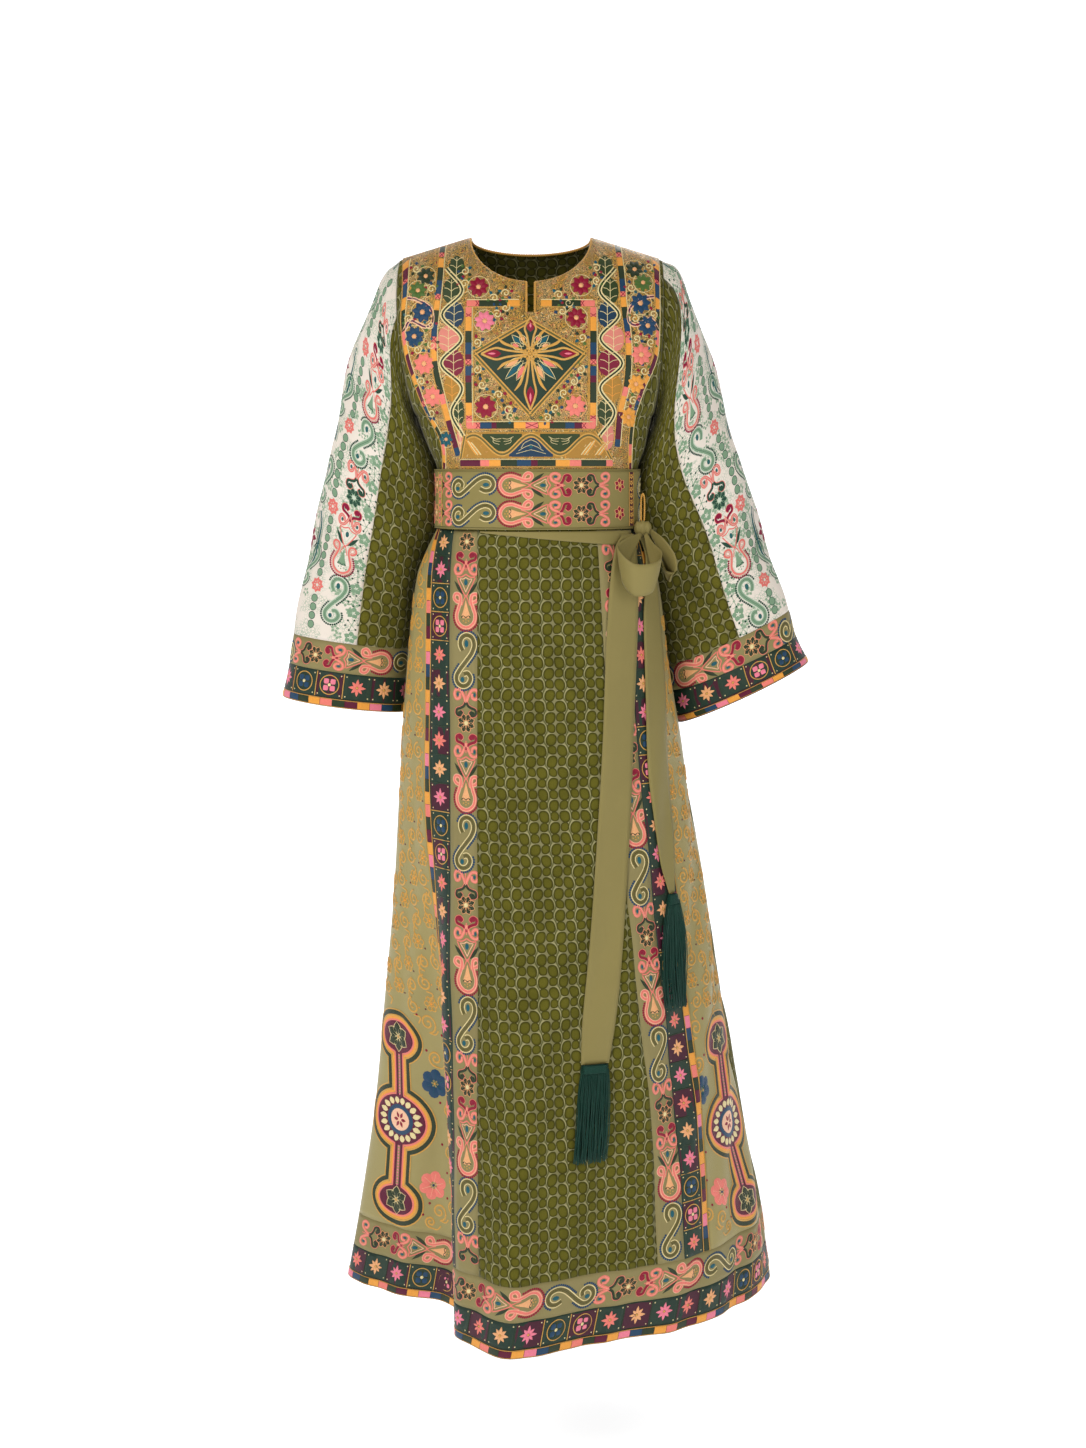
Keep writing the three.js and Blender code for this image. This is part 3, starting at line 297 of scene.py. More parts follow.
def ring_controls(z):
    left, right, front_y, back_y, crest, valley_x, panel, fold, flute = (
        smooth(SKIRT, "z", name, z) for name in SKIRT_COLUMNS.split())
    middle_x, half = (left + right) / 2, (right - left) / 2
    middle_y = mix(BODY_Y, 10, (WAIST_Z - z) / (WAIST_Z - HEM_Z))
    side = math.pi / 2
    valley, high, a, b = (math.asin(min(max((x - middle_x) / half, -0.999), 0.999))
                          for x in (valley_x, crest, VELVET_LEFT, panel))
    front = [(-side, 0), (mix(valley, -side, 0.67), FOLD_NEAR), (mix(valley, -side, 0.33), FOLD_FAR),
             (valley, FOLD_VALLEY), (high, FOLD_CREST), (a, FOLD_LEFT)]
    front += [(mix(a, b, share), push) for share, push in FOLD_CENTRE] + [(b, FOLD_RIGHT)]
    front += [(mix(b, side, share), push) for share, push in FOLD_SIDE] + [(side, 0)]
    points = [(middle_x + half * math.sin(angle),
               middle_y - (middle_y - front_y) * math.cos(angle) + push * fold, z) for angle, push in front]
    for i in range(1, BACK_STATIONS):
        angle = side + math.pi * i / BACK_STATIONS
        grow = FLUTE_DEPTH * flute * (1 if i % 2 else -1)
        points.append((middle_x + (half + grow) * math.sin(angle),
                       middle_y - (back_y - middle_y + grow) * math.cos(angle), z))
    return points


def fluted(points, arcs, z):
    """Soft upright waves in the cloth, from nothing under the belt to a few mm low down."""
    grow = min(1.0, max(0.0, (-365 - z) / 380))
    ends = np.clip(np.minimum(arcs, arcs[-1] - arcs) / 45, 0, 1)
    wave = (1.7 * np.sin(arcs / 12.4 + 1.1 * math.sin(z / 190)) + 1.2 * np.sin(arcs / 20.9 + z / 150)
            + 0.6 * np.sin(arcs / 7.1 - z / 95))
    out = points.copy()
    out[:, :2] -= leftward(points[:, :2]) * (grow * ends * wave)[:, None]
    return out


def ring(z):
    """Points round the skirt at height z, their distance along the cloth, and the seams' places."""
    key = round(z * 2) / 2
    if key not in ring_cache:
        points = curve_through(ring_controls(key), True, RING_STEPS)
        arcs = along(points)
        left, right, side_right = (arcs[k * RING_STEPS] for k in (5, 9, FRONT_CONTROLS - 1))
        strips = np.cumsum([MOTIF_BAND, STAR_BAND, STRIPE])
        seams = np.array([0, *(left - strips[::-1]), left, right, *(right + strips), side_right,
                          (side_right + arcs[-1]) / 2, arcs[-1]])
        ring_cache[key] = fluted(points, arcs, key), arcs, seams
    return ring_cache[key]


def at_arc(z, arc):
    """Points (or one point) at distances along the cloth of the ring at z."""
    points, arcs, _ = ring(z)
    x, y = (np.interp(np.mod(arc, arcs[-1]), arcs, points[:, k]) for k in (0, 1))
    return np.stack([x, y, np.full_like(x, z)], axis=-1)


def skirt(places, z):
    """Points at seam numbers (whole numbers are seams) round the skirt."""
    return at_arc(z, np.interp(places, np.arange(12), ring(z)[2]))


def arc_at_x(z, x, first=5):
    points, arcs, _ = ring(z)
    span = slice(first * RING_STEPS, FRONT_CONTROLS * RING_STEPS)
    return float(np.interp(x, points[span, 0], arcs[span]))


hem_arcs = ring(HEM_Z)[2]
print("hem goes round", round(ring(HEM_Z)[1][-1]), "mm")

# %% Sleeves and bodice
ARMHOLE_ROW, SLEEVE_END_ROW, CUFF_END_ROW = 0, 9, 12
LEAN, LEAN_END = 13.0, {"left": (5.4, 7.0), "right": (10.5, 12.0)}


def sleeve(side, angles, row):
    """Points round a sleeve at a row: angle 0 is its outer line, and positive angles go to the front."""
    indexed = dict(SLEEVES[side], i=list(range(13)))
    ox, oz, ix, iz, depth, y, bow = (smooth(indexed, "i", name, row) for name in SLEEVE_COLUMNS.split())
    way = -1 if side == "left" else 1
    c, s = np.cos(angles), np.sin(angles)
    # Soft slanting drags in the cloth: none at the armhole or next to the body, few at the cuff
    shown = np.interp(row, (0.2, 2.0, 7.5, 9.0, 12.0), (0, 1, 1, 0.35, 0.2))
    shown = shown * (0.15 + 0.85 * np.sqrt(np.maximum(0, 0.5 + 0.5 * c)))
    drag = 1 + shown * (0.034 * np.sin(3 * angles + 2.3 * row) + 0.024 * np.sin(5 * angles - 1.6 * row + 1.0))
    # Behind the body the inner side leans on it, so that no daylight shows between the two
    lean = LEAN * np.interp(row, (1.2, 2.4, *LEAN_END[side]), (0, 1, 1, 0))
    lean = lean * np.maximum(0, -0.85 * c - 0.53 * s) ** 2
    mx, mz = (ox + ix) / 2, (oz + iz) / 2
    return np.stack([mx + (ox - mx) * c * drag + way * (bow * s * s - lean),
                     y - depth * s * drag, mz + (oz - mz) * c * drag], axis=-1)


UNDERARM_V, CHEST_EDGE, SLIT_V = 0.42, 0.86, 0.812


def bodice_edge(side, back, v):
    if v < UNDERARM_V:
        z = mix(WAIST_Z, UNDERARM_Z, v / UNDERARM_V)
        return (smooth(BODICE_SIDE, "z", side, z), BODY_Y, z)
    turn = math.pi * (1 - (v - UNDERARM_V) / (1 - UNDERARM_V))
    return tuple(sleeve(side, np.array(-turn if back else turn), ARMHOLE_ROW))


def shoulder_line(x):
    fall = (NECK_Z - SHOULDER_END_Z) / (SHOULDER_X - NECK_HALF)
    return NECK_Z - max(0, abs(x) - NECK_HALF) * fall


def bodice(across, v, back=False):
    """A point of the bodice: across from side to side (-1 to 1), up from the waist (0 to 1)."""
    side, way = ("left", -1) if across < 0 else ("right", 1)
    share = min(abs(across), 1)
    edge, top = bodice_edge(side, back, v), bodice_edge(side, back, 1)

    def width_at(place):
        chest = min(abs(smooth(BODICE_SIDE, "z", "chest" + side.title(), place[2])), abs(place[0]) - 1.5)
        if share <= CHEST_EDGE:
            return chest * share / CHEST_EDGE
        return mix(chest, abs(place[0]), (share - CHEST_EDGE) / (1 - CHEST_EDGE))

    top_x = width_at(top)
    drop = NECK_DROP_BACK if back else NECK_DROP_FRONT
    neck = NECK_Z - drop * cap(top_x / NECK_HALF) if top_x < NECK_HALF - 0.01 else shoulder_line(top_x)
    rise = max(0, (edge[2] - UNDERARM_Z) / (top[2] - UNDERARM_Z))
    z = edge[2] if v < UNDERARM_V else mix(UNDERARM_Z, neck, rise)
    x = mix(width_at(edge), top_x, max(0, v - 0.9) * 10)
    roll = min(1, max(0, (shoulder_line(x) - z) / SHOULDER_ROUND))
    depth = (smooth(BODICE_DEPTH, "z", "back" if back else "front", z) - BODY_Y) * cap(1 - roll)
    from_edge = edge[1] - BODY_Y
    y = from_edge + (depth - from_edge) * cap(min(1, x / abs(edge[0])))
    return np.array([way * x, BODY_Y + y, z])


print("cuff outer edge at", sleeve("left", np.array(0.0), CUFF_END_ROW).round())

# %% [markdown]
# ## Cloth
# A sheet is a grid of points with its own measured UV map in metres: across from a chosen column,
# and down from its first row. Stitches and motifs are placed by these same measures.

# %% The sheet of cloth
def part_object(name, mesh, *materials, nodes=(), slot=None):
    obj = linked(name, mesh)
    for material in materials:
        mesh.materials.append(material)
    for face in mesh.polygons:
        face.use_smooth = True
    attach(obj, "root")
    if nodes:
        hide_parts(*nodes)
    return obj


class Sheet:
    """A grid of points (rows, columns, 3) in mm, with distances across and down the cloth."""

    def __init__(self, points, middle=0, closed=False):
        self.points, self.closed = np.asarray(points, float), closed
        rows, columns = self.points.shape[:2]
        steps = np.linalg.norm(np.diff(self.points, axis=1), axis=2)
        self.u = np.concatenate([np.zeros((rows, 1)), np.cumsum(steps, axis=1)], axis=1)
        self.u -= self.u[:, [middle]]
        self.v = along(self.points[:, columns // 2])
        across, down = (np.gradient(self.points, axis=k) for k in (1, 0))
        if closed:
            across[:, 0] = across[:, -1] = self.points[:, 1] - self.points[:, -2]
        self.normals = unit(np.cross(down, across))

    def raised(self, lift):
        """The same sheet, moved out by lift (mm): one number, or one for each point."""
        other = Sheet.__new__(Sheet)
        other.__dict__.update(self.__dict__)
        other.points = self.points + self.normals * lift
        return other

    def place(self, uv, lift=0.0):
        """Points at distances (across, down) in mm, lifted off the sheet."""
        uv = np.atleast_2d(np.asarray(uv, float))
        rows = len(self.points)
        fj = np.interp(uv[:, 1], self.v, np.arange(rows))
        j = np.clip(fj.astype(int), 0, rows - 2)
        tj = np.clip(fj - j, 0, 1)[:, None]
        out, normals = np.zeros((len(uv), 3)), np.zeros((len(uv), 3))
        for row, share in ((j, 1 - tj), (j + 1, tj)):
            for k in np.unique(row):
                pick = row == k
                line, at = self.u[k], uv[pick, 0]
                if self.closed:
                    at = line[0] + np.mod(at - line[0], line[-1] - line[0])
                for axis in range(3):
                    out[pick, axis] += share[pick, 0] * np.interp(at, line, self.points[k, :, axis])
                    normals[pick, axis] += share[pick, 0] * np.interp(at, line, self.normals[k, :, axis])
        return out + unit(normals) * np.asarray(lift).reshape(-1, 1)

    def mesh(self, name, keep=None):
        """The grid as a mesh in metres, with its UV map in metres."""
        rows, columns = self.points.shape[:2]
        bm = bmesh.new()
        bmesh.ops.create_grid(bm, x_segments=columns - 1, y_segments=rows - 1, size=1)
        order = sorted(bm.verts, key=lambda v: (round(-v.co.y, 6), round(v.co.x, 6)))
        uv_layer = bm.loops.layers.uv.new("cloth")
        cell = {vert: divmod(k, columns) for k, vert in enumerate(order)}
        lost = []
        for face in bm.faces:
            corners = [cell[loop.vert] for loop in face.loops]
            for loop, (j, i) in zip(face.loops, corners):
                loop[uv_layer].uv = (self.u[j, i] / 1000, -self.v[j] / 1000)
            j, i = min(corners)
            if keep and not keep(i, j):
                lost.append(face)
        for vert, spot in cell.items():
            vert.co = self.points[spot] / 1000
        bmesh.ops.delete(bm, geom=lost, context='FACES')
        bm.normal_update()
        if sum(face.normal.dot(Vector(self.normals[cell[face.verts[0]]])) for face in bm.faces) < 0:
            bmesh.ops.reverse_faces(bm, faces=bm.faces)
        if self.closed:
            bmesh.ops.remove_doubles(bm, verts=bm.verts, dist=1e-6)
        return mesh_of(bm, name)


sheets = {}


def cloth(node, sheet, material, slot, thick=CLOTH, keep=None, held="draped", rests_on=()):
    """A sheet as a thin closed shell that replaces its solid."""
    name = "cloth_" + node
    sheets[node] = sheet
    obj = part_object(name, sheet.mesh(name, keep), material, nodes=[node], slot=slot)
    shell = obj.modifiers.new("thickness", 'SOLIDIFY')
    shell.thickness = thick / 1000
    shell.offset = -1
    shell.use_even_offset = False
    list(rests_on)


def spread(a, b, step):
    return np.linspace(a, b, max(2, int(math.ceil(abs(b - a) / step)) + 1))

# %% [markdown]
# ## Materials
# All patterns read the cloth's own UV map, in metres, so a weave or a stitch has its real size.

# %% Node helpers
RICHNESS = 1.1


def dyed(colour, factor=1.0):
    """A colour for dyed cloth, a little richer than its hex, made darker or lighter by a factor."""
    rgb = np.array(linear(colour)[:3])
    rgb = np.clip(rgb.mean() + (rgb - rgb.mean()) * RICHNESS, 0.002, 1)
    return [*np.minimum(1, rgb * factor), 1.0]


def feed(tree, socket, value):
    """Fills an input: a link, a hex colour or a plain number; None leaves it."""
    if isinstance(value, bpy.types.NodeSocket):
        tree.links.new(value, socket)
    elif value is not None:
        socket.default_value = dyed(value) if isinstance(value, str) else value


def add(tree, kind, *values, **options):
    """A node with its options; values fill its inputs in turn."""
    node = tree.nodes.new(kind)
    for key, value in options.items():
        setattr(node, key, value)
    for socket, value in zip(node.inputs, values):
        feed(tree, socket, value)
    return node


class Look:
    """A new material with its shader's plain numbers, and its cloth map in mm: u across, v down."""

    def __init__(self, name, roughness, sheen, specular, slant=0.0):
        self.material = bpy.data.materials.new(name)
        self.material.use_nodes = True
        self.tree = self.material.node_tree
        self.shader = self.tree.nodes["Principled BSDF"]
        settings(self.shader, {"Roughness": roughness, "Sheen Weight": sheen, "Sheen Roughness": 0.4,
                               "Specular IOR Level": specular})
        scaled = add(self.tree, "ShaderNodeMapping", add(self.tree, "ShaderNodeUVMap", uv_map="cloth").outputs[0])
        settings(scaled, {"Scale": (1000, 1000, 1000), "Rotation": (0, 0, math.radians(slant))})
        self.uv = scaled.outputs[0]
        self.u, self.v, _ = add(self.tree, "ShaderNodeSeparateXYZ", self.uv).outputs

    def math(self, operation, *values):
        return add(self.tree, "ShaderNodeMath", *values, operation=operation).outputs[0]

    def times(self, a, b):
        return self.math('MULTIPLY', a, b)

    def step(self, value, low, high):
        return add(self.tree, "ShaderNodeMapRange", value, low, high, 0.0, 1.0,
                   interpolation_type='SMOOTHSTEP').outputs[0]

    def mix(self, factor, a, b, mode='MIX'):
        node = add(self.tree, "ShaderNodeMix", factor, data_type='RGBA', blend_type=mode)
        feed(self.tree, node.inputs[6], a)
        feed(self.tree, node.inputs[7], b)
        return node.outputs[2]

    def waves(self, value, period):
        """A ridge pattern from 0 to 1 along a coordinate in mm."""
        return self.math('MULTIPLY_ADD', self.math('SINE', self.times(value, 2 * math.pi / period)), 0.5, 0.5)

    def noise(self, scale, detail=2.0):
        node = add(self.tree, "ShaderNodeTexNoise")
        settings(node, {"Scale": scale, "Detail": detail})
        feed(self.tree, node.inputs["Vector"], self.uv)
        return node.outputs[0]

    def done(self, colour, height, distance, strength):
        """The colour and the relief go into the shader."""
        bump = add(self.tree, "ShaderNodeBump")
        settings(bump, {"Strength": strength, "Distance": distance})
        feed(self.tree, bump.inputs["Height"], height)
        feed(self.tree, self.shader.inputs["Normal"], bump.outputs[0])
        feed(self.tree, self.shader.inputs["Base Color"], colour)
        return self.material


# %% Silk thread in satin stitch: fine ridges across each shape, with a painted highlight on their tops and painted shade in the grooves between them
def thread(name, colour, period=0.55, roughness=0.42, slant=0.0, deep=0.72):
    look = Look(name, roughness, 0.05, 0.3, slant)
    ridge = look.waves(look.u, period)
    # Painted light: the colour runs from a painted shade in the grooves (the colour times deep) to a painted highlight
    # on the ridge tops (times 1.12), mixed with random patches of tone
    tone_and_painted_light = look.math('MULTIPLY_ADD', look.noise(0.35), 0.5, look.times(ridge, 0.55))
    return look.done(look.mix(tone_and_painted_light, dyed(colour, deep), dyed(colour, 1.12)), ridge, 0.00012, 0.6)


SILKS = dict(cream="#EADBA8", peach="#EDB283", gold="#D9A95E", salmon="#E8847A", rose="#E9869B", blush="#F7C6A8",
             crimson="#8A1634", maroon="#5A1230", navy="#1F4160", teal="#1B5866", dark="#26341F", olive="#665E34",
             orange="#E8A352", leaf="#4E6B35", violet="#57224A")
THREADS = {name: thread("silk thread " + name, colour) for name, colour in SILKS.items()}
# deep sets how dark the painted shade in the grooves of each couched cord is
for name, kind, roughness, deep in (("gold", "gold", 0.34, 0.5), ("cream", "pale", 0.38, 0.6),
                                    ("peach", "peach", 0.4, 0.6)):
    THREADS[name] = thread(f"couched {kind} cord", SILKS[name], 1.1, roughness, 35, deep)
GROUNDS = dict(maroon="#43182A", green="#24382C", gold="#A9803F", leaf="#2F3F22", navy="#1F3A52",
               crimson="#7A2038", rose="#D98A7E", khaki="#8F8A5C")
for name, colour in GROUNDS.items():
    THREADS[name + " ground"] = thread(f"satin {name} ground", colour, 0.7, 0.5, 90)


# %% Woven cloths: ribbed silk, satin, cotton
def woven(name, colour, warp=0.5, weft=0.6, roughness=0.6, sheen=0.06, tint=0.10):
    look = Look(name, roughness, sheen, 0.25)
    threads = look.times(look.waves(look.u, warp), look.waves(look.v, weft))
    # Painted light: each cloth is darker between its threads and lighter where they cross, a painted shade and
    # highlight of the weave, mixed with random tone; tint sets how far the shaded and lit copies of the colour lie
    # apart
    tone_and_painted_light = look.math('MULTIPLY_ADD', look.noise(0.02, 3), 0.6, look.times(threads, 0.4))
    colours = dyed(colour, 1 - tint * 2), dyed(colour, 1 + tint)
    return look.done(look.mix(tone_and_painted_light, *colours), threads, 0.00008, 0.5)


# %% Cut velvet: rows of round leaves of green pile on both sides of wavy stems, on a smooth pale ground, with painted shade at the leaves' edges and a painted highlight beside them
# Each leaf: its middle (across, down), its half sizes and its lean
LEAF_PITCH, LEAF_ROW = 26.0, 13.5
LEAVES = [(-6.5, 0.0, 6.6, 7.7, 0.14), (7.0, 0.8, 5.5, 5.9, 0.1),
          (6.5, 13.5, 6.6, 7.7, -0.14), (-7.0, 14.3, 5.5, 5.9, -0.1)]


def leaf_velvet(name):
    look = Look(name, 0.9, 0.1, 0.1)
    f, times, step = look.math, look.times, look.step
    shift = times(f('SUBTRACT', look.noise(0.06, 1.0), 0.5), 2.6)
    x, y = f('ADD', look.u, shift), f('ADD', look.v, shift)
    nearest = rim_highlight = None
    for cx, cy, rx, ry, lean in LEAVES:
        dx = f('WRAP', f('SUBTRACT', x, cx), LEAF_PITCH / 2, -LEAF_PITCH / 2)
        dy = f('WRAP', f('SUBTRACT', y, cy), LEAF_ROW, -LEAF_ROW)
        dx = f('MULTIPLY_ADD', dy, lean, dx)
        far = f('ADD', *(f('POWER', f('ABSOLUTE', f('DIVIDE', d, r)), 2.3) for d, r in ((dx, rx), (dy, ry))))
        nearest = far if nearest is None else f('MINIMUM', nearest, far)
        # Painted highlight: a pale crescent on the ground along each leaf's stem side
        side = f('MULTIPLY_ADD', dx, 1.0 if cx < 0 else -1.0, times(dy, 0.5))
        rim = times(times(step(far, 0.95, 1.1), step(far, 1.9, 1.45)), step(side, 0.5, 4.0))
        rim_highlight = rim if rim_highlight is None else f('MAXIMUM', rim_highlight, rim)
    pile, inner = step(nearest, 1.12, 0.84), step(nearest, 0.95, 0.15)
    streaks, cloudy = look.noise(0.8, 3), look.noise(0.025, 2)
    # Painted shade: each leaf is darker at its edge (#32310F) and lighter in its middle (#5C5924)
    leaf = look.mix(inner, "#32310F", "#5C5924")
    leaf = look.mix(times(step(streaks, 0.45, 0.75), 0.35), leaf, "#74713A")
    sway = f('COSINE', times(y, math.pi / LEAF_ROW))
    stem = f('WRAP', f('SUBTRACT', x, times(sway, 2.2)), LEAF_PITCH / 2, -LEAF_PITCH / 2)
    stem = times(step(f('ABSOLUTE', stem), 1.3, 0.5), 0.8)
    # The ground is lighter where the painted rim highlight lies
    ground = look.mix(stem, look.mix(rim_highlight, "#7E7B5A", "#9A9670"), "#474B26")
    shade = times(step(cloudy, 0.35, 0.7), 0.3)
    colour = look.mix(shade, look.mix(pile, ground, leaf), "#9A9C78", 'MULTIPLY')
    return look.done(colour, f('ADD', f('MAXIMUM', pile, stem), times(streaks, 0.25)), 0.0005, 0.8)


# %% Couching: fine gold cord laid in close wandering lines, with spots of silk between
def couching(name):
    look = Look(name, 0.5, 0.04, 0.3)
    lines = []
    for main, other, lean, scale, detail, sway, period in (
            (look.u, look.v, 0.5, 0.11, 2, 26.0, 2.4), (look.v, look.u, -0.5, 0.15, 1, 20.0, 2.6)):
        wander = look.times(look.noise(scale, detail), sway)
        lines.append(look.waves(look.math('ADD', look.math('MULTIPLY_ADD', other, lean, main), wander), period))
    cord = look.math('MAXIMUM', look.step(lines[0], 0.5, 0.85), look.step(lines[1], 0.8, 0.95))
    spots, tint = look.noise(0.22, 1), look.noise(0.05, 1)
    under = look.mix(look.step(spots, 0.52, 0.56), "#55502F", "#1F3A36")
    under = look.mix(look.step(spots, 0.42, 0.38), under, "#7A2A30")
    over = look.mix(look.step(tint, 0.42, 0.6), "#C59A50", "#CDAA72")
    return look.done(look.mix(cord, under, over), cord, 0.0003, 0.7)


# %% White cotton lawn, with a faint lace of sage ink printed all over
def printed_lawn(name):
    look = Look(name, 0.85, 0.05, 0.2)
    threads = look.times(look.waves(look.u, 0.45), look.waves(look.v, 0.45))
    warm = look.mix(look.noise(0.02, 2), "#E6DFD7", "#D9D1C8")
    net = add(look.tree, "ShaderNodeTexVoronoi", feature='DISTANCE_TO_EDGE')
    settings(net, {"Scale": 0.28})
    feed(look.tree, net.inputs["Vector"], look.uv)
    lace = look.step(net.outputs[0], 0.085, 0.035)
    patches = look.step(look.noise(0.035, 2), 0.42, 0.56)
    ink = look.times(look.times(lace, patches), 0.75)
    return look.done(look.mix(ink, warm, "#7F9F86"), threads, 0.00006, 0.5)


velvet = leaf_velvet("cut velvet with leaves")
# khaki and ribbon_silk pass tint last (0.07, 0.06): the strength of their painted weave shade and highlight
khaki = woven("gold-green silk satin", "#9C9264", 0.35, 0.35, 0.45, 0.1, 0.07)
ribbon_silk = woven("tie silk", "#887E50", 0.7, 0.45, 0.55, 0.08, 0.06)
chest_ground = couching("couched gold cord on olive silk")
print_cloth = printed_lawn("white cotton lawn, printed")
tassel_silk = thread("tassel silk", "#103E33", period=0.5, roughness=0.5)
gold = THREADS["gold"]
# The three strips of a border, from the inside out: what each is called, its cloth and its slot
STRIPS = {"motif_band": (woven("ribbed silk of the bands", "#8B825A", 2.0, 0.55), "motif_band"),
          "star_band": (woven("dark satin of the star bands", "#22362D", 0.4, 0.4, 0.5), "star_band"),
          "stripe_binding": (woven("binding silk", "#4A1C2C", 0.4, 0.4), "stripe_binding")}
print("threads:", len(THREADS))

# %% Skirt panels
skirt_z = spread(WAIST_Z, HEM_MOTIF_TOP, 7)
front_strips = [("stripe_binding", "stripe", "star"), ("star_band", "star", "motif"),
                ("motif_band", "motif", "panel")]
PANELS = [("skirt_side_left", "sideLeft", "stripeLeft", (khaki, "medallion_cloth"))]
PANELS += [(f"front_{kind}_left", outer + "Left", inner + "Left", STRIPS[kind])
           for kind, outer, inner in front_strips]
PANELS += [("skirt_front_panel", "panelLeft", "panelRight", (velvet, "leaf_velvet"))]
PANELS += [(f"front_{kind}_right", inner + "Right", outer + "Right", STRIPS[kind])
           for kind, outer, inner in front_strips[::-1]]
PANELS += [("skirt_side_right", "stripeRight", "sideRight", (khaki, "medallion_cloth")),
           ("skirt_back_right", "sideRight", "backMiddle", (velvet, "leaf_velvet")),
           ("skirt_back_left", "backMiddle", "end", (velvet, "leaf_velvet"))]
for name, start, stop, dress in PANELS:
    start, stop = SEAM[start], SEAM[stop]
    places = np.linspace(start, stop, max(4, int((hem_arcs[stop] - hem_arcs[start]) / 7)) + 1)
    cloth(name, Sheet([skirt(places, z) for z in skirt_z], middle=len(places) // 2), *dress)

HEM_ROWS = [HEM_MOTIF_TOP, HEM_STAR_TOP, HEM_STRIPE_TOP, HEM_Z]
for kind, top, bottom in zip(STRIPS, HEM_ROWS, HEM_ROWS[1:]):
    for end, start, stop in (("front", 0, 9), ("back", 9, 11)):
        places = np.interp(spread(hem_arcs[start], hem_arcs[stop], 6), hem_arcs, np.arange(12))
        cloth(f"hem_{kind}_{end}", Sheet([skirt(places, z) for z in spread(top, bottom, 6)]), *STRIPS[kind])
print("skirt sheets:", len(sheets))

# %% Bodice and chest panel
NECK_SHARE = CHEST_EDGE * NECK_HALF / 159
SLIT_SHARE = NECK_SHARE * SLIT_HALF / NECK_HALF
SLIT_ROWS = 12
half = np.concatenate([np.linspace(1, CHEST_EDGE, 7)[:-1], np.linspace(CHEST_EDGE, NECK_SHARE, 15)[:-1],
                       NECK_SHARE * np.sin(np.radians(np.linspace(90, 6, 17)))[:-1], [SLIT_SHARE]])
across = np.concatenate([-half, half[::-1]])
up = np.concatenate([np.linspace(1, SLIT_V, SLIT_ROWS + 1)[:-1], np.linspace(SLIT_V, 0, 46)])
slit_cell = len(half) - 1
front_points = np.array([[bodice(a, v) for a in across] for v in up])
back_points = np.array([[bodice(a, v, True) for a in across[::-1]] for v in up])
cloth("bodice_front", Sheet(front_points, middle=slit_cell), velvet, "leaf_velvet",
      keep=lambda i, j: not (i == slit_cell and j < SLIT_ROWS))
cloth("bodice_back", Sheet(back_points, middle=slit_cell), velvet, "leaf_velvet")


def height_share(z):
    """Where a height under the arm lies on the bodice, from the waist (0) up."""
    return UNDERARM_V * (z - WAIST_Z) / (UNDERARM_Z - WAIST_Z)


chest_columns = np.where(np.abs(across) <= CHEST_EDGE + 1e-9)[0]
chest_rows = np.where(up >= height_share(CHEST_BOTTOM) - 1e-3)[0]
chest_slit = slit_cell - chest_columns[0]
panel = Sheet(front_points[np.ix_(chest_rows, chest_columns)], middle=chest_slit).raised(CHEST_LIFT + RIBBON)
cloth("chest_panel", panel, chest_ground, "gold_couching", thick=RIBBON,
      keep=lambda i, j: not (i == chest_slit and j < SLIT_ROWS), rests_on=["cloth_bodice_front"])
print("chest panel", (panel.u[10, -1] - panel.u[10, 0]).round(), "mm wide")

# %% Sleeves and cuffs
def outwards(sheet, side):
    """Turns the normals of a right sleeve's sheet, whose points run the other way."""
    if side == "right":
        sheet.normals = -sheet.normals
    return sheet


for side in SLEEVES:
    def edge_at(row):
        return math.radians(smooth(PRINT_EDGE[side], "row", "angle", row))

    for name, start, stop, dress, cells in (
            ("print_panel", lambda r: -edge_at(r), edge_at, (print_cloth, "printed_cotton"), 44),
            ("velvet_front", edge_at, lambda r: math.pi, (velvet, "leaf_velvet"), 16),
            ("velvet_back", lambda r: math.pi, lambda r: 2 * math.pi - edge_at(r), (velvet, "leaf_velvet"), 16)):
        grid = [sleeve(side, np.linspace(start(r), stop(r), cells + 1), r)
                for r in np.linspace(0.025, SLEEVE_END_ROW, 78)]
        middle = cells // 2 if name == "print_panel" else 0
        cloth(f"sleeve_{name}_{side}", outwards(Sheet(grid, middle=middle), side), *dress)
    for k, kind in enumerate(STRIPS):
        top = SLEEVE_END_ROW + k
        grid = [sleeve(side, np.linspace(0, 2 * math.pi, 85), r) for r in np.linspace(top, top + 1, 7)]
        cloth(f"cuff_{kind}_{side}", outwards(Sheet(grid, closed=True), side), *STRIPS[kind])
print("cuff goes round", sheets["cuff_stripe_binding_left"].u[-1, -1].round(), "mm")

# %% Belt
BELT_THICK = CLOTH + 0.2
front_across = np.sin(np.linspace(-math.pi / 2, math.pi / 2, 61))
belt = Sheet([[bodice(a, v) for a in front_across] + [bodice(a, v, True) for a in front_across[::-1][1:]]
              for v in np.linspace(height_share(BELT_TOP), height_share(BELT_BOTTOM), 13)], middle=30, closed=True)
belt = belt.raised(CHEST_LIFT + RIBBON + 0.3 + BELT_THICK)
cloth("belt_band", belt, ribbon_silk, "belt_silk", thick=BELT_THICK)
print("belt goes round", (belt.u[6, -1] - belt.u[6, 0]).round(), "mm")

# %% [markdown]
# ## Tie, bow and tassels
# The ribbon comes out under the belt, is tied in a bow at the right end, and its two tails hang
# down the skirt and end in silk tassels.

# %% Under-tie and tails
on_panel = ["cloth_skirt_front_panel"]
tie_path = [(mix(-62, 124, t), mix(2, 17, min(1, t * 1.15))) for t in np.linspace(0, 1, 40)]
tie = []
for share in np.linspace(0, 1, 6):
    line = [(BELT_BOTTOM - 2.5 - share * deep, x) for x, deep in tie_path]
    tie.append([at_arc(z, arc_at_x(z, x, first=3)) for z, x in line])
cloth("under_tie", Sheet(tie).raised(1.8), ribbon_silk, "belt_silk", thick=0.9, rests_on=on_panel)

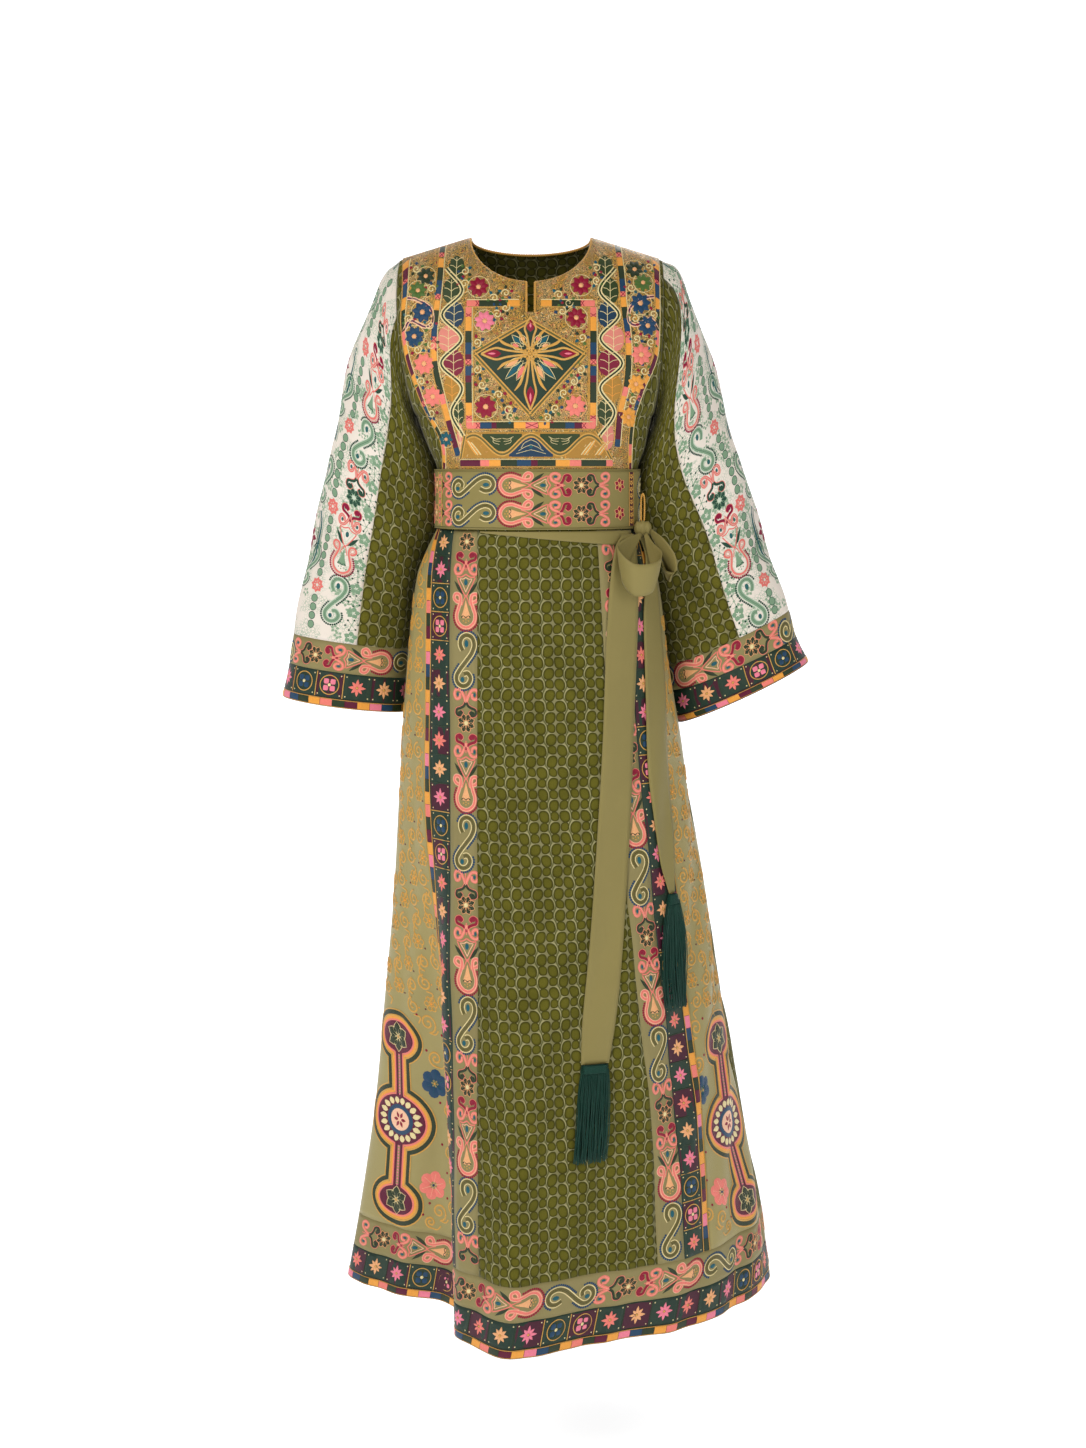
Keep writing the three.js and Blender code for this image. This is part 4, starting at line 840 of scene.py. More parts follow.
# A tail's edges curl a little off the skirt
CURL, ribbon_across = 1.3, np.linspace(-1, 1, 9)
for side, cells in (("left", 110), ("right", 90)):
    rows = TAILS[side]
    zs = np.linspace(rows["z"][0], rows["z"][-1], cells + 1)
    x_at, wide_at, lift = (np.array([smooth(rows, "z", name, z) for z in zs]) for name in ("x", "width", "lift"))
    grid = [at_arc(z, arc_at_x(z, x) + ribbon_across * wide / 2) for z, x, wide in zip(zs, x_at, wide_at)]
    curl = CURL * (0.5 + 0.5 * np.sin(zs[:, None] / 37 + ribbon_across * 1.8)) * np.abs(ribbon_across) ** 1.5
    sheet = Sheet(grid, middle=4).raised((lift[:, None] + RIBBON + curl)[:, :, None])
    cloth("tie_tail_" + side, sheet, ribbon_silk, "belt_silk", thick=RIBBON, held="hung", rests_on=on_panel)

# %% Bow loops: the ribbon's middle line from the knot, and its half width at each point
LOOPS = {
    "front": ([(-2.5, -5.7, -6.8), (-20, -33, -25), (-30, -52, -42), (-13, -68, -61),
               (11, -62, -58), (17, -40, -44), (9, -22, -27), (2.8, -6, -7)],
              [(-2, -1, 1), (-4, -1, 12), (-3, -1, 20), (0, -4, 20), (3, -2, 19), (4, 0, 16), (3, 0, 9),
               (1.5, 0, 1.5)]),
    "back": ([(10.5, -3.2, -3.3), (22, -13, -18), (34, -20, -40), (37, -18, -60),
              (29, -9, -58), (23, -3, -40), (17, -1, -22), (12.5, 1, -7)],
             [(1, -3, 2), (5, -8, 4), (6, -12, 5), (3, -12, 6), (-2, -12, 6), (-2, -11, 5), (-2, -7, 4),
              (-1, -2, 1)])}
for side, (middle, wide) in LOOPS.items():
    path, reach = (curve_through(rows, False, 12) for rows in (KNOT + np.array(middle), wide))
    soft = 1.2 * np.sin(np.linspace(0, math.pi, len(path)))[:, None] * (1 - ribbon_across**2)
    sheet = Sheet([[p + w * a for a in ribbon_across] for p, w in zip(path, reach)], middle=4)
    cloth("bow_loop_" + side, sheet.raised((soft + RIBBON)[:, :, None]), ribbon_silk, "belt_silk",
          thick=RIBBON, held="folded")

# %% Bodies skinned over rings of points
def skinned(name, bodies, uv_scale, material, slot, nodes=()):
    """One mesh: each body is a row of rings (in mm) that close round, with both ends shut."""
    bm = bmesh.new()
    uv_layer = bm.loops.layers.uv.new("cloth")
    for rings in bodies:
        verts = [[bm.verts.new(p) for p in one / 1000] for one in rings]
        sides = len(verts[0])
        for j in range(len(verts) - 1):
            for i in range(sides):
                n = (i + 1) % sides
                face = bm.faces.new((verts[j][i], verts[j + 1][i], verts[j + 1][n], verts[j][n]))
                for loop, (a, b) in zip(face.loops, ((i, j), (i, j + 1), (i + 1, j + 1), (i + 1, j))):
                    loop[uv_layer].uv = (a * uv_scale[0], b * uv_scale[1])
        bm.faces.new(verts[0])
        bm.faces.new(verts[-1][::-1])
    bmesh.ops.recalc_face_normals(bm, faces=bm.faces)
    return part_object(name, mesh_of(bm, name), material, nodes=nodes, slot=slot)


# The knot: a short barrel of ribbon, gathered into ridges where it wraps round
barrel, round_it = [], np.linspace(0, 2 * math.pi, 29)[:-1]
for t in np.linspace(-1, 1, 25):
    girth = cap(abs(t) ** 1.6 * 0.97) * (1 + 0.07 * math.cos(t * 9.5))
    barrel.append(np.stack([KNOT[0] + 11 * t + 0 * round_it, KNOT[1] + 7.2 * girth * np.cos(round_it),
                            KNOT[2] + 9 * girth * np.sin(round_it)], axis=-1))
skinned("ribbon_knot", [barrel], (0.05 / 29, 0.02 / 25), ribbon_silk, "belt_silk", ["bow_knot"])

# %% Cords: round strands swept along a path, laid round each other
def swept(path, radius, sides=8):
    """Rings of points along a path, with a frame that doesn't spin."""
    path = np.asarray(path, float)
    up = np.array([0.3, 1.0, 0.2])
    angles = np.linspace(0, 2 * math.pi, sides + 1)[:-1, None]
    rings = []
    for p, t in zip(path, unit(np.gradient(path, axis=0))):
        across = unit(np.cross(t, up))
        up = np.cross(across, t)
        rings.append(p + radius * (np.cos(angles) * across + np.sin(angles) * up))
    return np.array(rings)


def laid(path, radius, pitch, strands=2):
    """Strand paths that wind round one path, as a twisted cord has."""
    length = along(path)
    count = max(8, int(length[-1] / pitch * 8))
    even_places = np.linspace(0, length[-1], count)
    core = np.stack([np.interp(even_places, length, path[:, k]) for k in range(3)], axis=-1)
    turn = np.linspace(0, length[-1] / pitch * 2 * math.pi, count)
    rings = swept(core, 1.0, 4)
    a, b = rings[:, 0] - core, rings[:, 1] - core
    return [core + radius * (np.cos(turn + q)[:, None] * a + np.sin(turn + q)[:, None] * b)
            for q in np.arange(strands) * 2 * math.pi / strands]


def tubes(name, paths, radius, material, slot, nodes=(), sides=6):
    """Many closed tubes in one mesh."""
    skinned(name, [swept(path, radius, sides) for path in paths], (0.004 / sides, 0.002), material, slot, nodes)


cord_path = curve_through(KNOT + np.array(
    [(-1.9, -0.6, 9.2), (-2.2, -0.2, 22), (-1.8, 0.9, 38), (0, 1.3, 43), (1.8, 1.4, 38), (2.2, 0.2, 22),
     (1.9, -0.6, 9.2)]), False, 10)
tubes("twisted_belt_cord", laid(cord_path, 0.6, 5), 0.62, gold, "gold_cord", ["belt_cord"])

# %% Neck binding: a twisted cord round the neckline and down both edges of the slit
TINY = 1e-6
top_row = list(zip(across, front_points[0]))
neck_left = [p for a, p in top_row if -NECK_SHARE - TINY <= a <= -SLIT_SHARE + TINY][::-1]
neck_right = [p for a, p in top_row if SLIT_SHARE - TINY <= a <= NECK_SHARE + TINY][::-1]
neck_back = [p for a, p in zip(across[::-1], back_points[0]) if -NECK_SHARE <= a <= NECK_SHARE][::-1]
edge_path = np.array([*front_points[SLIT_ROWS:0:-1, slit_cell], *neck_left, *neck_back[1:-1], *neck_right,
                      *front_points[1:SLIT_ROWS + 1, slit_cell + 1]])
inward = (np.array([0, -8, -5]) - edge_path) * [1, 1, 0]
inward[:SLIT_ROWS], inward[-SLIT_ROWS:] = [1.0, 0, 0], [-1.0, 0, 0]
edge_line = edge_path + unit(inward) * 1.7 + np.array([0, -0.3, 0.5])
tubes("neck_cord", laid(edge_line, 0.85, 6), 0.95, gold, "gold_couching", ["neck_binding"])
for name, path in (("neck", edge_line), ("belt", cord_path)):
    print(name, "cord goes", along(path)[-1].round(), "mm")

# %% Tassels: strands hang apart from one bound head
STRANDS, STRAND_POINTS = 110, 13


def tassel(side, top_z, bottom_z, top_x, bottom_x, top_width, bottom_width, head, lift):
    def place(share, z, raise_by):
        t = (top_z - z) / (top_z - bottom_z)
        arc = arc_at_x(z, mix(top_x, bottom_x, t))
        fan = min(1, t * 2.2)
        width = mix(top_width, bottom_width, fan * (2 - fan))
        a, b, p = (at_arc(z, arc + share * width / 2 + d) for d in (-1, 1, 0))
        return p + unit(np.cross(b - a, [0, 0, 1.0])) * raise_by

    paths = []
    for k in range(STRANDS):
        share = -0.95 + 1.9 * (k + 0.5) / STRANDS
        layer = lift + 1.3 + (k % 4) * 1.35
        sway = rng.normal(0, 0.07)
        end = bottom_z + abs(rng.normal(0, 5))
        wave = rng.uniform(0, 6.28)
        paths.append([place(share + (sway + 0.035 * math.sin(wave + i * 0.9)) * i / (STRAND_POINTS - 1), z,
                            layer + 0.5 * math.sin(wave * 2 + i * 0.7))
                      for i, z in enumerate(np.linspace(top_z - head * 0.6, end, STRAND_POINTS))])
    tubes("tassel_strands_" + side, paths, 0.52, tassel_silk, "tassel_silk", ["tassel_" + side], sides=4)
    shares = np.linspace(-1, 1, 11)
    wound = []
    for z in np.arange(top_z - 0.7, top_z - head, -1.15):
        turn = [place(s, z, lift + 6.2 * cap(abs(s) ** 3)) for s in shares]
        turn += [place(s, z, lift + 0.7) for s in shares[::-1][1:-1]]
        wound.append(turn + turn[:1])
    tubes("tassel_head_" + side, wound, 0.66, tassel_silk, "tassel_silk", sides=5)


tassel("left", -995.4, -1116, 79, 72, 33, 44, 9, 1.2)
tassel("right", -797.4, -942, 175.5, 180, 12, 40, 12, 1.6)
print("tassel strands:", 2 * STRANDS)

# %% [markdown]
# ## Needlework
# A shape is drawn in mm on the cloth (across, down), with a height for the thread's relief, and is
# then laid on a sheet by the sheet's own measures. The motifs are the ordinary ones of such
# dresses, drawn here from a few numbers each: scrolls, flowers, drops, stars and leaves.

# %% The needle
def turning(degrees):
    c, s = math.cos(math.radians(degrees)), math.sin(math.radians(degrees))
    return np.array([[c, s], [-s, c]])


class Needle:
    """Collects shapes: points (across, down) in mm, heights, faces, threads and stitch directions."""

    def __init__(self):
        self.points, self.heights, self.faces, self.threads, self.grain = [], [], [], [], []
        self.count = 0
        self.at(0, 0)

    def at(self, u, v, turn=0.0, size=1.0, flip=1, base=0.06):
        """Where the next shapes go: origin, turn in degrees, size, mirrored or not, height of the cloth."""
        self.matrix = turning(turn) * size * [[flip], [1]]
        self.origin, self.size, self.base = np.array([u, v], float), size, base
        return self

    def add(self, points, heights, faces, thread, grain):
        points = np.asarray(points, float) @ self.matrix + self.origin
        self.points.append(points)
        self.heights.append(np.asarray(heights, float) + self.base)
        self.faces.extend([[i + self.count for i in face] for face in faces])
        self.threads.extend([thread] * len(faces))
        self.grain.append(np.asarray(grain, float) * self.size)
        self.count += len(points)

    def stroke(self, path, width, thread, height=0.5, closed=False, low=0.12):
        """A line of thread: rounded across, as wide as width (one number, or one for each point)."""
        p = np.asarray(path, float)
        if closed:
            p = np.vstack([p, p[0]])
        side = leftward(p, closed)
        half = np.broadcast_to(np.asarray(width, float), (len(p),))[:, None] / 2
        points = np.stack([p - side * half, p, p + side * half], axis=1).reshape(-1, 2)
        heights = np.tile([low * height, height, low * height], len(p))
        grain = np.stack([np.repeat(along(p), 3), np.tile([-1, 0, 1], len(p)) * np.repeat(half[:, 0], 3)], axis=1)
        faces = [(k, k + 1, k + 4, k + 3) for i in range(len(p) - 1) for k in (3 * i, 3 * i + 1)]
        self.add(points, heights, faces, thread, grain)

    def fill(self, outline, thread, height=0.5, core=0.62, turn=0.0):
        """A filled shape, domed: its stitches lie along the direction turn (degrees)."""
        p = np.asarray(outline, float)
        n, centre = len(p), p.mean(axis=0)
        inner = centre + (p - centre) * core
        points = np.vstack([p, inner, centre])
        heights = np.concatenate([np.full(n, 0.05 * height), np.full(n, 0.85 * height), [height]])
        faces = [(i, (i + 1) % n, n + (i + 1) % n, n + i) for i in range(n)]
        faces += [(n + i, n + (i + 1) % n, 2 * n) for i in range(n)]
        self.add(points, heights, faces, thread, points @ turning(turn))

    def petals(self, angles, near, far, width, thread, height, points=6, across=0):
        """Leaf shapes round the middle; across turns their stitches from each leaf's length."""
        for a in angles:
            self.fill(petal(0, 0, a, near, far, width, points), thread, height, turn=a + across)

    def dot(self, x, y, radius, thread, height=0.6, sides=8):
        a = np.linspace(0, 2 * math.pi, sides, endpoint=False)
        self.fill(np.stack([x + radius * np.cos(a), y + radius * np.sin(a)], axis=1), thread, height)

    def mesh(self, name, place):
        """The shapes as one mesh; place turns (points, heights) into mm in space."""
        where = place(np.vstack(self.points), np.concatenate(self.heights)) / 1000
        found = np.isfinite(where).all(axis=1)
        kept = [k for k, face in enumerate(self.faces) if found[face].all()]  # some may miss the cloth
        threads = sorted(set(self.threads[k] for k in kept))
        mesh = bpy.data.meshes.new(name)
        mesh.from_pydata(np.where(np.isfinite(where), where, 0).tolist(), [], [self.faces[k] for k in kept])
        uv = mesh.uv_layers.new(name="cloth")
        grain = np.vstack(self.grain) / 1000
        corners = np.empty(len(mesh.loops), int)
        mesh.loops.foreach_get("vertex_index", corners)
        uv.data.foreach_set("uv", grain[corners].ravel())
        mesh.polygons.foreach_set("material_index", [threads.index(self.threads[k]) for k in kept])
        return mesh, threads


def sew(name, needle, place, slot):
    """Puts the needle's shapes on the cloth, with every face turned outwards."""
    mesh, threads = needle.mesh(name, place)
    mesh.validate()
    bm = bmesh.new()
    bm.from_mesh(mesh)
    bm.normal_update()
    lifted = place(np.vstack(needle.points), np.concatenate(needle.heights) + 1.0) / 1000
    bm.verts.ensure_lookup_table()
    wrong = [f for f in bm.faces if f.normal.dot(Vector(lifted[f.verts[0].index]) - f.verts[0].co) < 0]
    bmesh.ops.reverse_faces(bm, faces=wrong)
    bmesh.ops.delete(bm, geom=[v for v in bm.verts if not v.link_faces], context='VERTS')
    bm.to_mesh(mesh)
    bm.free()
    part_object(name, mesh, *[THREADS[t] for t in threads], slot=slot)
    print(name, len(mesh.polygons), "faces")


# %% Lines and outlines to draw with
def bend(*points, steps=5):
    """A smooth line through points (across, down)."""
    return curve_through(np.array(points, float), False, steps)


def circle(x, y, rx, ry=None, n=16, start=0.0, end=360.0):
    a = np.radians(np.linspace(start, end, n, endpoint=(end - start) < 360))
    return np.stack([x + rx * np.cos(a), y + (ry or rx) * np.sin(a)], axis=1)


def spiral(x, y, radius, turns, start, inward=0.18, n=26, way=1):
    """From the outside in: start is the direction of the first point, in degrees."""
    t = np.linspace(0, 1, n)
    a = math.radians(start) + way * t * turns * 2 * math.pi
    r = radius * (1 - (1 - inward) * t)
    return np.stack([x + r * np.cos(a), y + r * np.sin(a)], axis=1)


def petal(x, y, angle, near, far, width, n=10):
    """A leaf-shaped outline from near to far of a point, in the direction angle."""
    t = np.linspace(0, 1, n // 2 + 1)
    reach, half = mix(near, far, t), width / 2 * np.sin(math.pi * t ** 0.8)
    shape = np.vstack([np.stack([reach, half], 1), np.stack([reach, -half], 1)[::-1][1:-1]])
    return shape @ turning(angle) + [x, y]


def beside(path, d):
    """A line beside a path, d to its left."""
    return path + d * leftward(path)


def even(path, step):
    """Points at even distances along a path."""
    p = np.asarray(path, float)
    at = along(p)
    places = np.arange(step / 2, at[-1], step)
    return np.stack([np.interp(places, at, p[:, k]) for k in (0, 1)], axis=1)


MIRROR = np.array([-1.0, 1.0])

# %% Motifs of the bands
# Each is drawn round its own middle; the band runs down (+y) and is about 36 mm wide.
def scroll(n):
    path = bend((-4.5, -12.5), (-7.5, -20), (-5.5, -28), (1, -31.5), (8, -28.5), (11, -20), (8, -10),
                (0, 1), (-8, 11), (-13, 20), (-11.5, 27.5), (-5, 31.5), (2.5, 29), (6, 21.5), (2, 15.5), (-3, 16.5))
    n.stroke(path, 5.6, "olive", 0.45)
    n.stroke(path, 1.0, "dark", 0.62)
    for d in (-3.1, 3.1):
        n.stroke(beside(path, d), 1.25, "cream", 0.75)
    tenth, middle, most = (int(len(path) * share) for share in (0.1, 0.5, 0.9))
    for part, d in ((path[tenth:middle], -5.4), (path[middle:most], 5.4)):
        for x, y in even(beside(part, d), 3.1):
            n.dot(x, y, 1.6, "navy", 0.55, 6)
    n.fill(circle(0.6, -21, 2.7, 4.6, 10), "teal", 0.5)
    n.fill(circle(-5, 23.5, 2.7, 3.4, 10), "teal", 0.5)


def flower(n, petals="dark", rim="peach", heart="cream", radius=12.0, count=8):
    for k in range(count):
        a = 360 / count * k + 22.5
        leaf = petal(0, 0, a, radius * 0.26, radius * 1.02, radius * 0.66)
        n.fill(leaf, petals, 0.5, turn=a + 90)
        n.stroke(leaf, 0.8, rim, 0.7, closed=True)
    n.dot(0, 0, radius * 0.24, heart, 0.8)


def curls(n, sign, thread="crimson"):
    """Two hooks that curl outward from a stem; sign -1 turns them upside down."""
    for m in (1, -1):
        hook = bend((0, 9), (3, 3), (7.5, 0.5), (12.5, -1.5), (13, -7), (8.5, -9), (5.5, -6), (8, -3.5)) * [m, sign]
        n.stroke(hook, 3.3, thread, 0.55)
        n.stroke(beside(hook, 2.0 * m * sign), 0.8, "salmon", 0.6)
        n.dot(9.2 * m, -5.8 * sign, 2.4, thread, 0.6)


def wings(n, sign):
    for m in (1, -1):
        wing = bend((0, -6), (3.5, 3), (8, 9.5), (13.5, 10), (16, 4.5), (13, -1.5), (8.5, 0.5), (8.5, 5.5)) * [m, sign]
        n.stroke(wing, 3.8, "salmon", 0.6)
        n.stroke(wing, 0.9, "blush", 0.85)
        n.fill(circle(11.2 * m, 4.2 * sign, 1.9, 2.6, 8), "teal", 0.55)
    n.stroke(bend((0, -9), (0, 0), (0, 6)), 1.3, "salmon", 0.55)


def kite(n):
    """A kite with two dark leaves at its sides, on crossing stems."""
    for m in (1, -1):
        n.fill(petal(0, 14, -90 - 38 * m, 5, 27, 5.2), "dark", 0.55)
        n.stroke(bend((0, 13), (6.5 * m, 2), (12.5 * m, -11)), 1.5, "salmon", 0.7)
        n.stroke(bend((12.8 * m, -12.5), (6.5 * m, -12), (0, -15.5)), 1.7, "salmon", 0.7)
        n.stroke(bend((0, 6.5), (4 * m, -2), (8 * m, -9.5), (4 * m, -9.5), (0, -11.5)), 1.1, "blush", 0.7)
        n.stroke(bend((0, 10), (3.2 * m, 17), (5.2 * m, 23)), 1.3, "salmon", 0.6)
    n.fill(circle(0, -5.5, 2.5, 4, 10), "teal", 0.6)


def drop(n):
    """A horseshoe with curled ends and a scalloped edge, round a small drop."""
    outer = bend((-8.5, -13), (-12.5, -14), (-16, -18), (-14, -22.5), (-9, -21.5), (-7.5, -15), (-10, -6),
                 (-12.8, 3), (-11, 12), (-5, 17.5), (0, 18.8))
    path = np.vstack([outer, (outer * MIRROR)[::-1][1:]])
    n.stroke(path, 4.6, "salmon", 0.55)
    n.stroke(beside(path, 1.1), 1.0, "blush", 0.85)
    n.stroke(beside(path, -2.5), 0.8, "blush", 0.65)
    for x, y in even(beside(path[path[:, 1] > -9], 4.1), 3.0):
        n.dot(x, y, 1.6, "crimson", 0.6, 6)
    left, right = bend((0, -16), (-3, -4), (-5.6, 6), (0, 7)), bend((0, 7), (5.6, 6), (3, -4), (0, -16))
    n.fill(np.vstack([left, right[1:-1]]), "peach", 0.55)
    n.stroke(bend((-6, 6), (-3.5, 3.8), (0, 5.8), (3.5, 3.8), (6, 6)), 1.6, "dark", 0.75)
    for x, y in ((-3.5, 10), (0, 12), (3.5, 10), (0, 8.6)):
        n.dot(x, y, 1.0, "gold", 0.6, 6)


# How far each motif of a repeat lies from its start, and which one it is
REPEAT = 225.0
STRIP = [(0, flower, {}), (24, curls, dict(sign=1)), (31, wings, dict(sign=1)), (57, kite, {}), (89, drop, {}),
         (148, scroll, {}), (194, wings, dict(sign=-1)), (207, curls, dict(sign=-1, thread="dark"))]


def motif_strip(n, length, line, start, down, size=1.0, ring=False):
    """The row of motifs along a band; line is its middle, start shifts it, and a ring holds whole repeats."""
    if ring:
        size = length / (REPEAT * round(length / REPEAT))
    repeat = REPEAT * size
    first, last = math.floor(-start / repeat) - 1, int((length - start) / repeat) + 2
    for k in range(round(length / repeat)) if ring else range(first, last):
        for place, motif, options in STRIP:
            at = start + (k * repeat + place * size)
            reach = {scroll: 34, flower: 13}.get(motif, 20) * size
            if ring or (at - reach >= 0.5 and at + reach <= length - 0.5):
                n.at(*((line, at) if down else (at, line)), turn=0 if down else -90, size=size)
                motif(n, **options)


STAR_RADIUS = 11.5


def star(n, thread):
    for k in range(8):
        far = STAR_RADIUS if k % 2 == 0 else STAR_RADIUS * 0.86
        n.petals([45 * k], 1.2, far, STAR_RADIUS * 0.36, thread, 0.6, 10, 90)
    n.dot(0, 0, 1.6, "gold", 0.8)


def rosette(n, petals):
    n.stroke(circle(0, 0, 12.4, n=28), 1.2, "gold", 0.7, closed=True)
    for k in range(4):
        n.fill(petal(0, 0, 90 * k + 45, 2.2, 10.6, 8.4), petals, 0.55, turn=90 * k)
        n.fill(petal(0, 0, 90 * k, 2.6, 10.4, 2.4), "dark" if petals != "dark" else "cream", 0.6, turn=90 * k)
    n.dot(0, 0, 2.2, "cream", 0.8)


CELL = 36.0
CELLS = [("maroon", star, "salmon"), ("green", star, "peach"), ("maroon", star, "rose"), ("green", rosette, "navy"),
         ("maroon", rosette, "rose"), ("green", star, "salmon"), ("maroon", star, "peach"), ("green", star, "rose")]


def star_strip(n, length, line, shift, down):
    """Square cells along a band, each with a star or rosette, and bars and dots between them."""
    count = max(1, round(length / CELL))
    pitch = length / count
    w, h = STAR_BAND / 2 - 1.6, pitch / 2 - 0.9
    for k in range(count):
        ground, motif, thread = CELLS[(k + shift) % len(CELLS)]
        middle = (k + 0.5) * pitch
        n.at(*((line, middle) if down else (middle, line)), turn=0 if down else -90, base=0.03)
        corners = [(-w, -h), (0, -h), (w, -h), (w, 0), (w, h), (0, h), (-w, h), (-w, 0)]
        n.fill(corners, ground + " ground", 0.12, core=0.9)
        n.base = 0.12
        motif(n, thread)
        for x in (-1, 1):
            for y in (-1, 1):
                n.dot(x * (w - 2.6), y * (h - 2.6), 0.95, "cream", 0.5, 6)
        if k < count - 1:
            beside_rosette = rosette in (motif, CELLS[(k + 1 + shift) % len(CELLS)][1])
            n.stroke([(-w - 0.6, h + 0.9), (0, h + 0.9), (w + 0.6, h + 0.9)], 1.1,
                     "gold" if beside_rosette else "dark", 0.55)


STRIPES = ["maroon", "orange", "rose", "navy", "dark", "orange", "salmon", "dark"]
SEGMENT = 16.0


def stripe_strip(n, length, line, shift, down, width):
    """Segments of satin stitch in turn along a binding, with a thin gold cord at each side."""
    count = max(1, round(length / SEGMENT))
    step = length / count
    n.at(*((line, 0) if down else (0, line)), turn=0 if down else -90, base=0.05)
    for k in range(count):
        path = np.stack([np.zeros(4), np.linspace(k * step + 0.25, (k + 1) * step - 0.25, 4)], axis=1)
        n.stroke(path, width, STRIPES[(k + shift) % len(STRIPES)], 0.7, low=0.35)
    path = np.stack([np.zeros(count * 3), np.linspace(0, length, count * 3)], axis=1)
    for side in (-1, 1):
        n.stroke(path + [side * (width / 2 + 0.6), 0], 0.9, "gold", 0.8)


print("motifs in a repeat:", len(STRIP))

# %% [markdown]
# ## Embroidery on the bands
# The same two strips of motifs and stars run down the front, round the hem and round the cuffs.

# %% Motif and star bands
def embroider(name, kind, start, shift):
    """Embroiders a band: down its sheet at the skirt's front, across it on hem and cuffs."""
    sheet = sheets[name]
    down = name.startswith("front")
    row = sheet.u[len(sheet.v) // 2]
    first, length, line = (0.0, sheet.v[-1], 0.0) if down else (row[0], row[-1] - row[0], sheet.v[-1] / 2)
    needle = Needle()
    if kind == "motif_band":
        motif_strip(needle, length, line, start, down, ring=sheet.closed)
    elif kind == "star_band":
        star_strip(needle, length, line, shift, down)
    else:
        stripe_strip(needle, length, line, shift, down, 8.6 if down else 8.2)
    for points in needle.points:
        if sheet.closed:
            # Round a cuff the strip keeps its share of the way round at every height
            way_round = np.interp(points[:, 1], sheet.v, sheet.u[:, -1] - sheet.u[:, 0])
            points[:, 0] = np.mod(points[:, 0], length) * way_round / length
        points[:, 0] += first
    sew("stitches_" + name, needle, sheet.place, kind)


# Where the motifs start, and which star cell and which stripe come first
for place, end, start, star_shift, stripe_shift in (
        ("front", "left", 15.0, 1, 0), ("front", "right", 60.0, 4, 3), ("hem", "front", 60.0, 0, 2),
        ("hem", "back", 20.0, 0, 2), ("cuff", "left", 63.0, 2, 1), ("cuff", "right", 90.0, 2, 1)):
    for kind, shift in (("motif_band", 0), ("star_band", star_shift), ("stripe_binding", stripe_shift)):
        embroider(f"{place}_{kind}_{end}", kind, start, shift)

# %% [markdown]
# ## Embroidery on the belt
# Two equal rows of the motif strip go round the belt and start where it is tied.

# %% Belt rows
def belt_u(x):
    """Where on the front of the belt, halfway down, the cloth lies at x."""
    u = np.linspace(-170, 170, 341)
    at = belt.place(np.stack([u, np.full(len(u), belt.v[-1] / 2)], axis=1))
    front = at[:, 1] < 0
    return float(np.interp(x, at[front, 0], u[front]))


BELT_SIZE, BELT_ROWS = 0.92, (0.265, 0.735)
tied_at, flower_at, filler_at, left_end = (belt_u(x) for x in (128.0, 62.0, 110.0, -113.0))
middle_row = len(belt.v) // 2
belt_length = belt.u[middle_row, -1] - belt.u[middle_row, 0]
needle = Needle()
for share in BELT_ROWS:
    motif_strip(needle, belt_length - 12, belt.v[-1] * share, tied_at - 6 - flower_at, False, BELT_SIZE)
for points in needle.points:
    points[:, 0] = tied_at - 6 - points[:, 0]
edge = np.linspace(tied_at - belt_length + 3, tied_at - 3, 260)
for v in (2.2, belt.v[-1] - 2.2):
    needle.at(0, 0, base=0.05)
    needle.stroke(np.stack([edge, np.full(len(edge), v)], axis=1), 1.0, "olive", 0.4)
# A small flower fills each row's end by the knot
for share in BELT_ROWS:
    needle.at(filler_at, belt.v[-1] * share, size=0.8)
    flower(needle, "crimson", "peach", "gold", 11.0, 6)
# Trims at the belt's ends: a strip of pink florets on the left, a dark one at the knot
for at, ground, petals in ((left_end, "khaki ground", "salmon"), (tied_at - 6, "maroon ground", "gold")):
    path = np.stack([np.full(9, at), np.linspace(3.5, belt.v[-1] - 3.5, 9)], axis=1)
    needle.at(0, 0, base=0.6)
    needle.stroke(path, 9.0, ground, 0.35, low=0.8)
    for side in (-4.6, 4.6):
        needle.stroke(path + [side, 0], 1.2, "gold", 0.6)
    for v in np.arange(9.0, belt.v[-1] - 5, 8.0):
        needle.at(at, v, turn=v * 9, base=0.95)
        for a in range(0, 360, 72):
            needle.fill(petal(0, 0, a, 0.6, 3.8, 2.6, 6), petals, 0.4)
sew("stitches_belt", needle, belt.place, "motif_band")

# %% [markdown]
# ## Embroidery on the chest panel
# The design is laid out flat, as seen from the front: across (x) and down (-z) in mm. Each point
# is then dropped on the chest panel along Y. The order is: fields, bars, cords, flowers, small fill.

# %% Dropping points on the chest panel
rows, columns = panel.points.shape[:2]
chest_mesh = [Vector(p) for p in panel.points.reshape(-1, 3)]
chest_faces = [(r * columns + c, r * columns + c + 1, (r + 1) * columns + c + 1, (r + 1) * columns + c)
               for r in range(rows - 1) for c in range(columns - 1)
               if not (c == chest_slit and r < SLIT_ROWS)]
chest_tree = BVHTree.FromPolygons(chest_mesh, chest_faces)
chest_normals = panel.normals.reshape(-1, 3)


def on_chest(uv, lift):
    out = np.full((len(uv), 3), np.nan)
    lift = np.broadcast_to(np.asarray(lift, float), (len(uv),))
    for i, (x, down) in enumerate(uv):
        hit, _, face, _ = chest_tree.ray_cast(Vector((x, -400.0, -down)), Vector((0, 1, 0)), 395.0)
        if hit is not None:
            normal = chest_normals[list(chest_faces[face])].mean(axis=0)
            out[i] = np.array(hit) + unit(normal) * lift[i]
    return out


